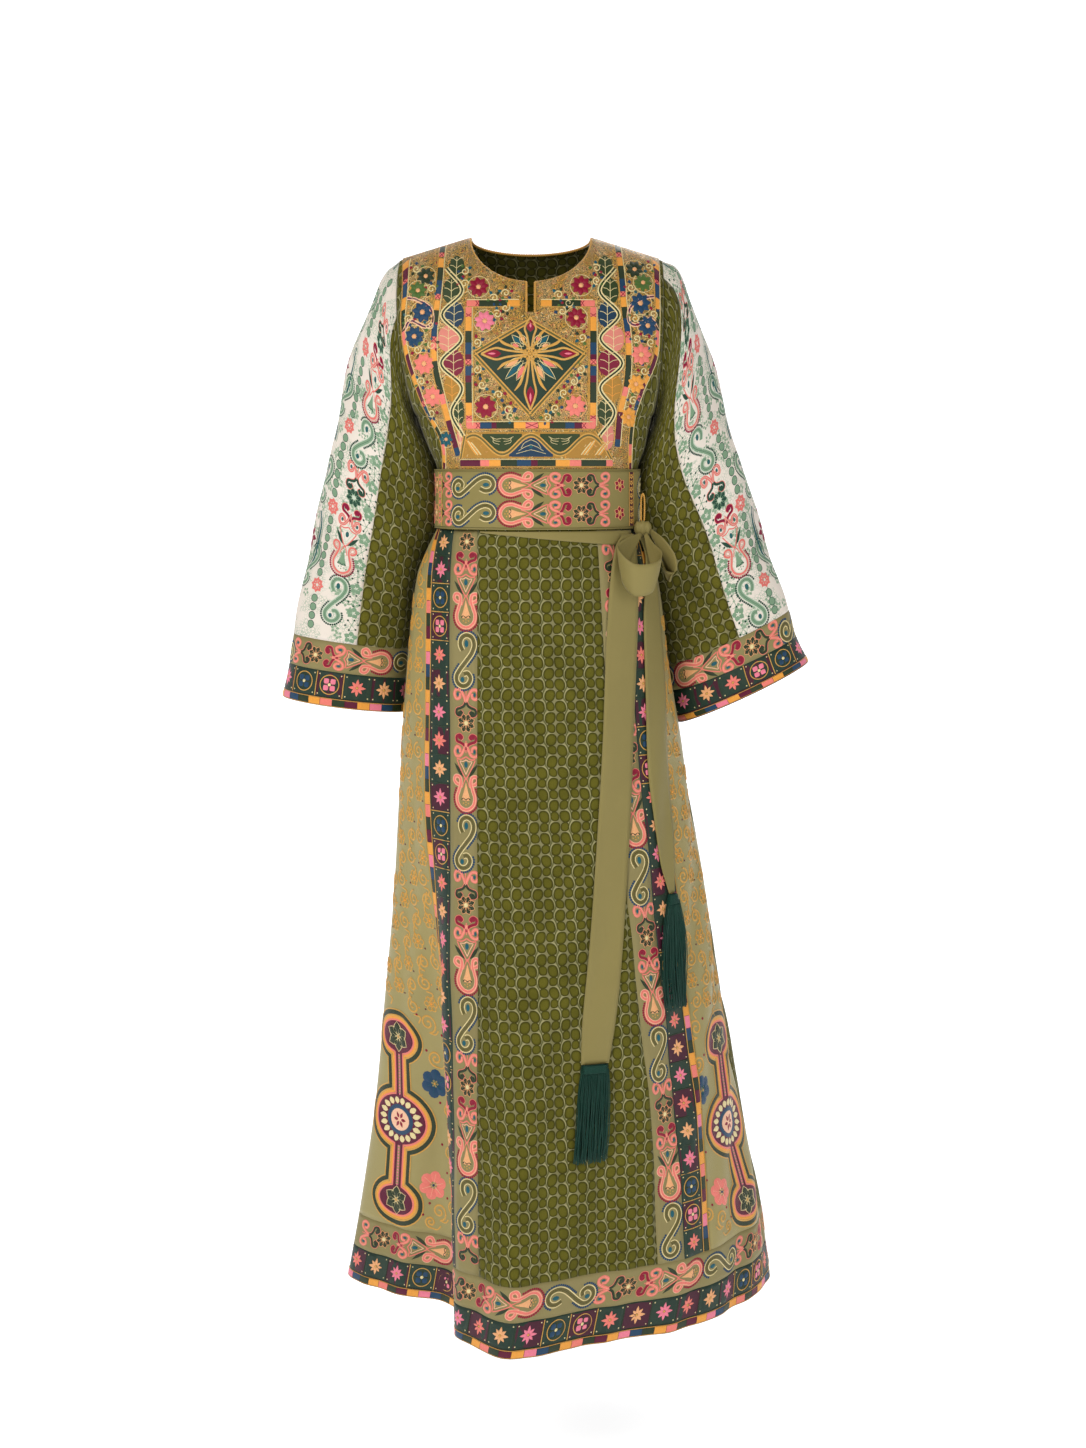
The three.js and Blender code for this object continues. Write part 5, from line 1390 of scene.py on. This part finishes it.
def line(a, b, step=4.0):
    a, b = np.array(a, float), np.array(b, float)
    count = max(2, int(np.linalg.norm(b - a) / step) + 1)
    return mix(a, b, np.linspace(0, 1, count)[:, None])


def ruled(n, a, b, thread, height, rows):
    """A field of thread between two lines with as many points."""
    a, b = np.asarray(a, float), np.asarray(b, float)
    t = np.linspace(0, 1, rows + 1)
    points = mix(a[None], b[None], t[:, None, None]).reshape(-1, 2)
    heights = np.repeat(np.where((t == 0) | (t == 1), 0.1, 1.0) * height, len(a))
    m = len(a)
    faces = [(k, k + 1, k + 1 + m, k + m) for r in range(rows) for k in range(r * m, r * m + m - 1)]
    n.add(points, heights, faces, thread, points)


def double_cord(n, path, gap=1.9, wide=1.7, colour="gold", core="olive"):
    n.stroke(path, gap * 2, core, 0.3)
    for side in (-gap, gap):
        n.stroke(beside(path, side), wide, colour, 0.8)


def bar(n, path, parts, width=7.4):
    """A bar of satin stitch along a path: parts are (share of the length, thread)."""
    path = even(path, 1.0)
    total = sum(share for share, _ in parts)
    at = 0.0
    for share, colour in parts:
        a, b = (round(place / total * (len(path) - 1)) for place in (at, at + share))
        at += share
        piece = path[a:b + 1:3] if b - a > 5 else path[a:b + 1]
        if len(piece) < 2:
            continue
        if colour == "cross":
            n.stroke(piece, width, "salmon", 0.5, low=0.3)
            start, end = piece[0], piece[-1]
            side = beside(np.array([start, end]), width / 2 - 0.6) - np.array([start, end])
            for m in (1, -1):
                n.stroke([start + m * side[0], (start + end) / 2, end - m * side[1]], 1.3, "crimson", 0.9)
        else:
            n.stroke(np.vstack([piece, path[b:b + 1]]), width, colour, 0.6, low=0.3)
    for side in (-1, 1):
        n.stroke(beside(path[::3], side * (width / 2 + 0.9)), 1.0, "cream" if side < 0 else "gold", 0.85)


def leaf_field(n, x, y, wide, tall, ground, veins):
    """A rounded field of silk with a leaf's veins on it."""
    n.at(x, y, base=0.05)
    t = np.linspace(-1, 1, 9)
    half = wide / 2 * (np.maximum(0.02, 1 - np.abs(t) ** 2.6)) ** 0.6
    ruled(n, np.stack([-half, t * tall / 2], 1), np.stack([half, t * tall / 2], 1), ground, 0.35, 4)
    n.base = 0.3
    n.stroke(line((0, -tall * 0.42), (0, tall * 0.46)), 0.8, veins, 0.5)
    for k in np.linspace(-0.28, 0.3, 3):
        for m in (1, -1):
            vein = bend((0, k * tall), (m * wide * 0.2, (k - 0.1) * tall), (m * wide * 0.4, (k - 0.13) * tall), steps=3)
            n.stroke(vein, 0.7, veins, 0.5)


def chest_flower(n, x, y, radius, petals, rim):
    n.at(x, y, turn=x * 3, base=0.1)
    for k in range(8):
        leaf = petal(0, 0, 45 * k, radius * 0.2, radius * 1.08, radius * 0.62)
        n.fill(leaf, petals, 0.85, core=0.75, turn=45 * k + 90)
    n.stroke(circle(0, 0, radius * 1.12, n=20), 0.7, rim, 0.4, closed=True)
    n.dot(0, 0, radius * 0.24, "peach", 1.1)


# %% Diamond with a sun of gold rays
n = Needle()
SUN = np.array([0.0, 131.5])
LEFT, RIGHT, TOP, FOOT = (np.array(p) for p in ((-68.0, 131), (66.5, 131), (-1.0, 92), (-0.5, 204)))
n.at(0, 0, base=0.04)
steps = np.linspace(0, 1, 19)[:, None]
upper = np.vstack([mix(LEFT, TOP, steps), mix(TOP, RIGHT, steps)[1:]])
lower = np.vstack([mix(LEFT, FOOT, steps), mix(FOOT, RIGHT, steps)[1:]])
ruled(n, upper, lower, "green ground", 0.2, 22)
n.base = 0.2
for angle, reach, drop_size in ((0, 46, 12), (180, 47, 12), (-90, 35, 9), (90, 52, 14)):
    for m in (1, -1):
        ray = np.array([(3, 1.2 * m), (reach * 0.35, 2.4 * m), (reach * 0.62, 4.2 * m), (reach * 0.85, 6.8 * m),
                        (reach, 5.4 * m), (reach + drop_size, 0)])
        ray = bend(*(ray @ turning(angle) + SUN))
        n.stroke(ray, 2.5, "gold", 0.9)
        n.stroke(ray, 0.7, "cream", 1.1)
        flame = np.array([(8, 3 * m), (reach * 0.4, 7.5 * m), (reach * 0.68, 12.5 * m), (reach * 0.84, 19 * m)])
        flame = bend(*(flame @ turning(angle) + SUN))
        n.stroke(flame, np.interp(np.linspace(0, 1, len(flame)), (0, 0.7, 1), (2.4, 3.4, 1.2)), "gold", 0.8)
    n.fill(petal(*SUN, angle, reach * 0.74, reach + drop_size - 2, 9.4, 12), "crimson", 0.8, turn=angle + 90)
    n.fill(petal(*SUN, angle, reach * 0.84, reach + drop_size - 6, 3.6, 8), "rose", 1.1, turn=angle + 90)
for k in range(4):
    for lean, far, colour in ((-17, 34, "salmon"), (0, 41, "teal"), (17, 34, "peach")):
        a = 45 + 90 * k + lean
        tall = far if k in (0, 1) else far * 0.72
        n.fill(petal(*SUN, a, 16, tall, 5.6, 10), colour, 0.6, turn=a + 90)
        n.stroke(petal(*SUN, a, 12, tall + 2, 8.2, 14), 0.8, "cream", 0.6, closed=True)
for radius, count in ((0.0, 1), (3.4, 6), (7.0, 12)):
    for a in np.linspace(0, 2 * math.pi, count, endpoint=False):
        n.dot(SUN[0] + radius * math.cos(a), SUN[1] + radius * math.sin(a), 1.8, "gold", 1.1, 8)
for a, b in ((LEFT, TOP), (TOP, RIGHT), (RIGHT, FOOT), (FOOT, LEFT)):
    double_cord(n, line(a, b))
print("sun:", len(n.faces), "faces")

# %% Frame of bars round the diamond
n.at(0, 0)
TALL_BAR = [(4, "salmon"), (2, "cross"), (9, "orange"), (7, "dark"), (7, "navy"), (3, "maroon"), (4, "cross"),
            (6, "navy"), (4, "maroon"), (12, "dark"), (8, "orange"), (2, "cross"), (5, "salmon")]
WIDE_BAR = [(5, "salmon"), (2, "cross"), (6, "navy"), (3, "maroon"), (9, "dark"), (6, "orange"), (7, "cross"),
            (6, "orange"), (8, "dark"), (5, "navy"), (4, "maroon"), (2, "cross"), (5, "salmon")]
FRAME_X, FRAME_TOP, FRAME_LOW = (-74.5, 75.5), 70.5, 216.0
for x in FRAME_X:
    bar(n, line((x, FRAME_TOP + 4), (x, FRAME_LOW + 3)), TALL_BAR)
bar(n, line((FRAME_X[0] - 3, FRAME_LOW), (FRAME_X[1] + 3, FRAME_LOW)), WIDE_BAR)
bar(n, line((FRAME_X[0] - 3, FRAME_TOP), (-12, FRAME_TOP)),
    [(5, "salmon"), (2, "cross"), (15, "dark"), (7, "orange")])
bar(n, line((12, FRAME_TOP), (FRAME_X[1] + 3, FRAME_TOP)), [(6, "orange"), (16, "dark"), (2, "cross"), (6, "salmon")])
bar(n, line((-87, 261), (101, 261)), [
    (9, "maroon"), (4, "salmon"), (5, "orange"), (7, "dark"), (6, "navy"), (3, "maroon"), (8, "dark"),
    (6, "orange"), (5, "salmon"), (11, "dark"), (3, "salmon")])
LEANING = [(5, "dark"), (3, "cross"), (5, "orange"), (7, "dark"), (7, "navy"), (3, "cross"), (5, "orange"),
           (6, "dark"), (7, "navy"), (3, "cross"), (3, "salmon"), (6, "orange"), (16, "dark"), (5, "salmon"),
           (8, "orange"), (14, "maroon"), (4, "navy")]
LEFT_BAR = bend((-109, -8), (-110.5, 40), (-113, 71), (-116.5, 111), (-115.5, 143), (-107.5, 181),
                (-101, 208), (-89, 252))
RIGHT_BAR = bend((107, -8), (111, 40), (112.6, 71), (117.2, 107), (118.4, 130), (116.5, 165),
                 (109.5, 197), (106, 241))
for path in (LEFT_BAR, RIGHT_BAR):
    bar(n, path, LEANING, 6.6)

# %% Winding cord with leaf fields, between the frame and the leaning bars
FIELDS = ["leaf", "leaf", "navy", "rose", "crimson", "gold", "leaf", "rose"]
for inner, outer, side in ((FRAME_X[0] - 6.5, LEFT_BAR, -1), (FRAME_X[1] + 6.5, RIGHT_BAR, 1)):
    step, first = 29.0, 26.0
    path, lobes = [], []
    for k in range(8):
        y = first + step * k
        edge_x = float(np.interp(y, outer[:, 1], outer[:, 0])) - side * 6.0
        near, far = (inner, edge_x) if k % 2 else (edge_x, inner)
        path.append((near + (far - near) * 0.06, y))
        lobes.append((near + (far - near) * 0.6, y, abs(far - near) * 0.86, k))
    for x, y, wide, k in lobes:
        if wide > 6:
            veins = "orange" if FIELDS[k] == "gold" else "cream"
            leaf_field(n, x, y, wide, step * 1.15, FIELDS[k] + " ground", veins)
    n.at(0, 0, base=0.3)
    double_cord(n, bend(*path, steps=8), 1.9, 1.8, "cream", "dark")

# %% Lower field: a wave of gold cord with leaf fields above and below it
n.at(0, 0, base=0.04)
def level(xs, y):
    return np.stack([xs, np.full(len(xs), y)], 1)


def waved(xs, y):
    """The wave's line at height y."""
    return np.stack([xs, y - 11.5 * np.cos((xs - 0.5) / 35.0 * math.pi)], 1)


ruled(n, line((-80, 224), (80, 224), 6), level(np.linspace(-84, 97, 27), 255.0), "gold ground", 0.15, 5)
n.base = 0.1
lobe = np.linspace(-26, 27, 15)
ruled(n, waved(lobe, 241), level(lobe, 253.5), "navy ground", 0.3, 4)
for centre in (-34.5, 35.5):
    lobe = np.linspace(centre - 24, centre + 24, 15)
    ruled(n, level(lobe, 226.0), waved(lobe, 236.5), "leaf ground", 0.3, 4)
    for m in (1, -1):
        for t in (0.2, 0.5, 0.8):
            n.stroke(bend((centre + m * t * 4, 229 + t * 12), (centre + m * (6 + 6 * t), 231 + t * 6),
                          (centre + m * (15 - 6 * t), 228.5 + t * 4), steps=4), 0.8, "cream", 0.8)
for m in (1, -1):
    for k in range(3):
        vein = bend((0.5, 233 + 6 * k), (0.5 + m * 8, 237 + 5 * k), (0.5 + m * (12 + 3 * k), 243 + 3.4 * k), steps=4)
        n.stroke(vein, 0.8, "cream", 0.8)
n.dot(0.5, 241, 2.6, "teal", 1.0)
for m, middle in ((-1, -69.5), (1, 70.5), (1, 88.0)):
    for k in range(4):
        x = middle + 2 * k * m
        n.stroke(bend((x - m * 9, 251), (x - m * 3, 243), (x + m * 3, 236 - k), steps=4), 1.2,
                 "orange" if k % 2 else "cream", 0.6)
double_cord(n, waved(np.linspace(-78, 88, 61), 239))
for start, end in (((-79, 222), (-86, 256)), ((80, 222), (99, 256))):
    double_cord(n, line(start, end), 1.5, 1.4)

# %% Flowers, corner sprays and shoulders
for x, y, radius, petals in (
        (-63, 50, 12, "crimson"), (61, 48, 12, "crimson"), (-55, 92, 12, "rose"), (55, 88, 12, "crimson"),
        (-54, 194, 13, "crimson"), (54, 193, 12.5, "salmon"), (-128, 35, 11, "dark"), (-137, 53, 11, "leaf"),
        (-131, 80, 12.5, "navy"), (-141, 109, 12, "navy"), (-129, 142, 12.5, "salmon"), (-119, 181, 12, "salmon"),
        (127, 26, 11, "dark"), (137, 43, 11, "leaf"), (133, 69, 12.5, "navy"), (142, 96, 12, "navy"),
        (134, 131, 12.5, "salmon"), (128, 166, 11, "orange"), (120, 205, 11, "orange"), (-104, 232, 9, "teal")):
    chest_flower(n, x, y, radius, petals, "peach" if petals == "salmon" else "cream")
n.at(0, 0)
for m, top in ((-1, 62), (1, 60)):
    shoulder = bend((m * 150, top), (m * 140, top + 2), (m * 121, top + 14), (m * 119, top + 32),
                    (m * 127, top + 36), (m * 146, top + 28), (m * 154, top + 40))
    double_cord(n, shoulder, 1.7, 1.4, "blush", "violet")
sprays = np.random.default_rng(7)
# Corner sprays: across, down, and the way the curl turns
CORNERS = [(-40, 84, 1), (-30, 76, 1), (38, 80, 1), (-64, 118, -1), (62, 112, -1), (-64, 150, 1), (-58, 168, 1),
           (60, 150, 1), (52, 164, 1), (-38, 180, 1), (-26, 197, 1), (30, 196, 1), (40, 178, 1), (-30, 58, 1),
           (34, 60, 1), (-44, 64, 1), (46, 70, 1), (-80, 30, 1), (80, 26, 1), (-80, 46, -1), (80, 42, 1),
           (-24, 205, 1), (20, 207, 1), (-140, 25, 1), (-120, 52, -1), (-148, 88, 1), (-121, 96, -1),
           (-137, 125, 1), (-119, 120, -1), (-133, 163, 1), (-122, 200, -1), (145, 22, -1), (122, 50, 1),
           (149, 82, -1), (126, 88, 1), (146, 116, 1), (128, 112, -1), (138, 150, 1), (125, 186, -1)]
for x, y, way in CORNERS:
    n.at(x, y, turn=float(sprays.uniform(0, 360)), base=0.08)
    n.stroke(spiral(0, 0, 5.4, 1.2, 0, way=way, n=14), 1.4, "cream", 0.9)
    for a, colour in ((40, "teal"), (110, "dark"), (180, "crimson"), (250, "navy"), (320, "leaf")):
        n.petals([a], 5.0, 10.5, 4.4, colour, 0.75, across=90)

# %% Thin cords round the fields, and gold seed stitches all over the ground
n.at(0, 0)
for x in (FRAME_X[0] + 6.2, FRAME_X[1] - 6.2):
    n.stroke(line((x, 78), (x, 209)), 0.9, "gold", 0.8)
seeds = np.random.default_rng(11)
SEEDS, SEED_SILKS = 1500, ("gold", "cream", "gold", "orange", "peach")
for _ in range(SEEDS):
    x, y = seeds.uniform(-158, 158), seeds.uniform(2, 262)
    n.at(x, y, turn=float(seeds.uniform(0, 360)), base=0.03)
    n.stroke([(-1.4, 0.3), (0, -0.4), (1.4, 0.3)], 0.8, SEED_SILKS[int(seeds.integers(5))], 0.15)
sew("stitches_chest", n, on_chest, "gold_couching")

# %% Bars along the sides of the chest panel
SIDE_BAR = [(5, "orange"), (6, "maroon"), (2, "cross"), (7, "navy"), (5, "orange"), (9, "dark"), (6, "salmon"),
            (4, "orange"), (9, "maroon")]
needle = Needle()
for way in (-1, 1):
    needle.at(0, 0, base=0.05)
    kept = (panel.v > 6) & (panel.v < panel.v[-1] - 4)
    path = np.stack([panel.u[kept, 0 if way < 0 else -1] - way * 5.0, panel.v[kept]], axis=1)
    bar(needle, path, SIDE_BAR * 2, 5.6)
sew("stitches_chest_sides", needle, panel.place, "gold_couching")

# %% [markdown]
# ## Embroidery on the side panels
# A chain of three medallions stands low on each side, with flowers beside it and gold spirals above.

# %% Side panels: distances are taken from the panel's front edge, and down
def v_at_z(sheet, share, z):
    """How far down a sheet a height lies, along a line at a share of its width."""
    columns = sheet.points.shape[1]
    return float(np.interp(-z, -sheet.points[:, int(share * (columns - 1)), 2], sheet.v))


def from_front_edge(sheet, way):
    edge = sheet.u[:, -1 if way < 0 else 0]

    def place(uv, lift):
        at = np.interp(uv[:, 1], sheet.v, edge) + way * uv[:, 0]
        return sheet.place(np.stack([at, uv[:, 1]], axis=1), lift)
    return place


# Medallion lobes: height on the dress, half width, half height; x of the chain's line on each side
LOBES = [(-1001, 45, 36), (-1111, 58, 48), (-1220, 44, 34)]
CHAIN_X = {-1: (-174, -176, -178), 1: (250, 263, 284)}
NECK = 22.0
# Gold spirals round them: across from the chain (toward the front is less than 0), down from the top lobe,
# radius and way
ROUND_CHAIN = [(-58, -28, 13, 1), (-62, 18, 11, -1), (-78, 86, 12, 1), (-88, 112, 10, -1), (-80, 142, 12, 1),
               (-90, 58, 9, 1), (-66, 224, 12, 1), (-90, 212, 9, -1), (-88, 178, 9, 1), (-90, -6, 11, -1),
               (-96, 32, 9, 1), (-52, 240, 8, -1), (62, -24, 12, -1), (72, 8, 10, 1), (84, 84, 12, -1),
               (92, 118, 10, 1), (62, 206, 12, -1), (90, 196, 10, 1), (96, 40, 12, 1), (92, 158, 11, 1),
               (72, 232, 9, -1)]
# Bands from the outline inwards: inset, width, thread, height
BANDS = [(0.4, 1.8, "gold", 0.9), (4.2, 6.2, "dark", 0.6), (8.3, 2.4, "gold", 0.9), (11.2, 3.4, "orange", 0.6),
         (14.2, 2.6, "salmon", 0.7), (17.6, 4.4, "maroon", 0.6)]


def chain(centres, inset):
    """The outline of the three lobes and the two necks, moved in by inset."""
    side, half = [], NECK - inset
    for k, (y, wide, tall) in enumerate(centres):
        meet = math.degrees(math.acos(min(1, half / (wide - inset))))
        start, end = (-90 if k == 0 else -meet), (90 if k == 2 else meet)
        arc = np.radians(np.linspace(start, end, 19 if k == 1 else 15))
        side.append(np.stack([(wide - inset) * np.cos(arc), y + (tall - inset) * np.sin(arc)], axis=1))
    necks = [line(a[-1], b[0], 6)[1:-1] for a, b in zip(side, side[1:])]
    right = np.vstack([side[0], necks[0], side[1], necks[1], side[2]])
    return np.vstack([right, (right * MIRROR)[::-1][1:-1]])


def disc(n, rx, ry, thread, height):
    """An oval filled with rings of thread, so that it follows the curve of the cloth."""
    rings = max(1, round(rx / 4.5))
    for k in range(rings):
        share = (k + 0.5) / rings
        n.stroke(circle(0, 0, rx * share, ry * share, 12 + 3 * k), 1.25 * max(rx, ry) / rings, thread, height,
                 closed=True, low=0.7)


def gold_spiral(n, x, y, radius, start, way):
    n.stroke(spiral(x, y, radius, 1.6, start, 0.12, 24, way), 2.6, "gold", 1.0)


def gold_floret(n, x, y, radius):
    for loop_x, loop_y in circle(x, y, radius * 0.62, n=6):
        n.stroke(circle(loop_x, loop_y, radius * 0.34, n=8), 1.9, "gold", 0.95, closed=True)
    n.dot(x, y, radius * 0.2, "orange", 0.9, 6)


for way, name in ((-1, "skirt_side_left"), (1, "skirt_side_right")):
    sheet = sheets[name]
    place = from_front_edge(sheet, way)
    n = Needle()
    wide_at = lambda v: float(np.interp(v, sheet.v, sheet.u[:, -1] - sheet.u[:, 0]))
    centres, edge_gaps = [], []
    for (z, wide, tall), x in zip(LOBES, CHAIN_X[way]):
        v = v_at_z(sheet, 0.7 if way < 0 else 0.3, z)
        row = int(np.searchsorted(sheet.v, v))
        across = np.interp(x, sheet.points[row, :, 0], sheet.u[row])
        gap = abs(across - (sheet.u[row, -1] if way < 0 else sheet.u[row, 0]))
        edge_gaps.append(min(gap, wide_at(v) - wide - 4))
        centres.append((v, wide, tall))
    print(name, "chain lies", np.round(edge_gaps), "mm from the panel's front edge")
    n.at(0, 0, base=0.05)
    for inset, wide, colour, height in BANDS:
        n.stroke(chain(centres, inset), wide, colour, height, closed=True, low=0.3)
    for y, wide, tall in centres:
        n.at(0, y, base=0.05)
        inner_x, inner_y = wide - 19, tall - 15
        if wide > 50:
            disc(n, inner_x + 1, inner_y + 1, "maroon", 0.2)
            for a in np.linspace(0, 360, 18, endpoint=False):
                scallop = petal(0, 0, a, 0.6, 1.0, 0.26, 8) * [inner_x, inner_y]
                n.fill(scallop, "cream", 0.6, turn=a + 90)
            n.stroke(circle(0, 0, inner_x * 0.52, inner_y * 0.52, 24), 7.0, "navy", 0.8, closed=True)
            disc(n, inner_x * 0.42, inner_y * 0.42, "blush", 0.55)
            n.petals(range(0, 360, 60), 1.0, inner_x * 0.32, 6.0, "crimson", 1.0, across=90)
        else:
            disc(n, inner_x + 1, inner_y + 1, "maroon", 0.3)
            for a in range(30, 390, 60):
                leaf = petal(0, 0, a, 2.0, inner_x * 0.76, inner_x * 0.6, 8)
                n.fill(leaf, "dark", 0.9, turn=a + 90)
                n.stroke(leaf, 1.2, "cream", 0.9, closed=True)
            n.dot(0, 0, 2.2, "gold", 1.0)
    n.at(0, 0, base=0.05)
    for (a, _, tall_a), (b, _, tall_b) in zip(centres, centres[1:]):
        for x, y in even([(0, a + tall_a - 14), (0, b - tall_b + 14)], 4.0):
            n.dot(x, y, 1.5, "rose", 0.8, 6)
    spots = [(-58, (centres[0][0] + centres[1][0]) / 2 - 3, 20, "navy"), (-56, centres[1][0] + 80, 20, "salmon"),
             (60, centres[1][0] + 62, 18, "navy"), (66, centres[0][0] + 44, 18, "salmon")]
    line_at = lambda v: float(np.interp(v, [c[0] for c in centres], edge_gaps))
    for x, y, radius, petals in spots:
        if line_at(y) + x + radius > wide_at(y) - 3:
            continue
        n.at(x, y, turn=20, base=0.08)
        for k, out in enumerate(circle(0, 0, 1, n=6)):
            n.fill(circle(*(0.6 * radius * out), 0.4 * radius, n=10), petals, 0.8, turn=60 * k)
            n.stroke([2 * out, 0.8 * radius * out], 1.0, "teal" if petals == "navy" else "blush", 1.2)
        n.dot(0, 0, 1.8, "gold" if petals == "navy" else "navy", 1.2)
    # Spirals in the ground round the medallions
    n.at(0, centres[0][0])
    for x, y, radius, way_round in ROUND_CHAIN:
        if line_at(y + centres[0][0]) + x + radius > wide_at(y + centres[0][0]) - 6:
            continue
        gold_spiral(n, x, y, radius, 90, way_round)
        n.stroke(bend((x, y + radius), (x - 9, y + radius + 1), (x - 15, y + radius - 5), steps=4), 2.0, "gold", 0.9)
        n.dot(x + radius + 2, y - 9, 2.0, "crimson", 0.8, 6)
    # The chain follows its own line down the panel; all else is measured from the front edge
    for points in n.points:
        points[:, 0] += np.interp(points[:, 1], [c[0] for c in centres], edge_gaps)
    n.at(0, 0)
    # A vine of spirals and florets from the waist down to the medallions
    count = 0
    for x0 in (14.0, 40.0, 66.0, 92.0, 118.0, 144.0, 170.0):
        y = 18.0 + (x0 % 5) * 6
        while y < centres[0][0] - 44:
            if x0 + 10 < wide_at(y - 12):
                turn_way = 1 if count % 2 else -1
                if count % 3 == 2:
                    gold_floret(n, x0 + turn_way * 1.5, y, 10.5)
                    n.dot(x0 - turn_way * 9, y + 8, 1.4, "maroon", 0.7, 6)
                else:
                    gold_spiral(n, x0 + turn_way * 2.0, y, 11.0, -90 * turn_way, turn_way)
                    n.stroke(bend((x0 + turn_way * 2.0, y + turn_way * 11), (x0 - turn_way * 7, y + 14),
                                  (x0 - turn_way * 3, y + 22), steps=5), 2.2, "gold", 0.9)
                    n.dot(x0 - turn_way * 8, y + 1, 1.2, "orange", 0.7, 6)
            count += 1
            y += 27.0
    sew("stitches_" + name, n, place, "gold_couching")

# %% [markdown]
# ## Print on the white sleeve panels
# The print repeats the band's motifs in green and pink ink. It lies flat, a tenth of a millimetre proud.

# %% Inks
INKS = dict(sage="#7C9A80", green="#27463A", teal="#2F5F60", pink="#DB7A74", crimson="#84203C", pale="#C9D3C4",
            lace="#8FA78F")
# tint 0.08, the last number, sets the painted weave shade and highlight of each ink
for name, colour in INKS.items():
    THREADS["ink " + name] = woven("printed ink, " + name, colour, 0.45, 0.45, 0.85, 0.1, 0.08)
INK_OF = dict(salmon="pink", blush="pale", crimson="crimson", dark="green", olive="sage", cream="pale",
              navy="green", teal="teal", peach="sage", gold="sage", rose="pink", lace="lace")
PRINT_HEIGHT, LACE_FLORETS = 0.2, 230

# %% Printed sleeve panels
for side in ("left", "right"):
    sheet = sheets[f"sleeve_print_panel_{side}"]
    half_at = lambda v: float(np.interp(v, sheet.v, sheet.u[:, -1]))
    n = Needle()
    length = sheet.v[-1]
    # A lace of pale florets under the rest
    for _ in range(LACE_FLORETS):
        v = rng.uniform(12, length - 10)
        n.at(rng.uniform(-0.94, 0.94) * half_at(v), v, turn=rng.uniform(0, 72), base=0.02)
        n.petals(range(0, 360, 72), 1.2, 6.6, 4.4, "lace", 0.15)
    for way in (-1, 1):
        # The column of motifs: drawn straight down, then moved out to its share of the width
        start = v_at_z(sheet, 0.86, -380) - 89
        first = len(n.points)
        motif_strip(n, length, 0.0, start if way > 0 else start + 100, True)
        for points in n.points[first:]:
            points[:, 0] += [0.7 * way * half_at(v) for v in points[:, 1]]
        # Beads, with a pink floret now and then
        for k, v in enumerate(np.arange(14, length - 8, 12.0)):
            x = 0.42 * way * half_at(v)
            n.at(x, v)
            if k % 9 == 7:
                n.at(x, v + 5.7)
                n.petals(range(0, 360, 45), 1.5, 11, 8.0, "rose", 0.5)
                for dot in circle(0, 0, 5, n=8):
                    n.dot(*dot, 1.0, "blush", 0.9, 6)
            elif k % 9 != 8:
                n.fill(circle(0, 0, 4.7, 5.0, 12), "olive", 0.45, core=0.9)
                n.stroke(circle(0, 0, 4.9, 5.2, 12), 0.9, "dark", 0.6, closed=True)
        # Small sage flowers and sprigs beside the velvet
        for k, v in enumerate(np.arange(16, length - 8, 19.0)):
            x = 0.92 * way * half_at(v)
            n.at(x, v, turn=37 * k)
            if half_at(v) < 40:
                continue
            if k % 2:
                n.petals(range(0, 360, 72), 1.5, 9.5, 7.6, "olive", 0.5)
                n.dot(0, 0, 1.5, "blush", 0.9, 6)
            else:
                for out in circle(0, 0, 1, n=6):
                    n.stroke([0 * out, 8 * out], 0.8, "olive", 0.4)
                    n.dot(*(8.5 * out), 1.6, "dark", 0.5, 6)
            n.at(x, v + 9, turn=50 * k, base=0.05)
            n.stroke(bend((-5, -3), (0, 0), (5, -2), steps=3), 0.6, "olive", 0.4)
        # Paisley leaves between the beads and the middle
        for v in np.arange(70, length - 30, 112.0):
            n.at(0.2 * way * half_at(v), v, turn=12 * way, size=0.85, flip=way)
            scroll(n)
    # Long rings down the middle of the panel
    for v in np.arange(36, length - 30, 112.0):
        n.at(0, v)
        for r, wide, silk in ((26, 4.2, "teal"), (21, 1.8, "navy"), (31, 1.4, "olive")):
            ends = circle(0, -18, r, r, 9, 180, 360), circle(0, 18, r, r, 9, 0, 180)
            n.stroke(np.vstack(ends), wide, silk, 0.5, closed=True)
        n.petals(range(0, 360, 60), 1.5, 17, 8.5, "crimson", 0.6)
        for y in (-28, 28):
            n.dot(0, y, 3.4, "crimson", 0.6)
    for heights in n.heights:
        heights *= PRINT_HEIGHT
    n.threads = ["ink " + INK_OF[thread_name] for thread_name in n.threads]
    sew(f"print_sleeve_{side}", n, sheet.place, "printed_cotton")
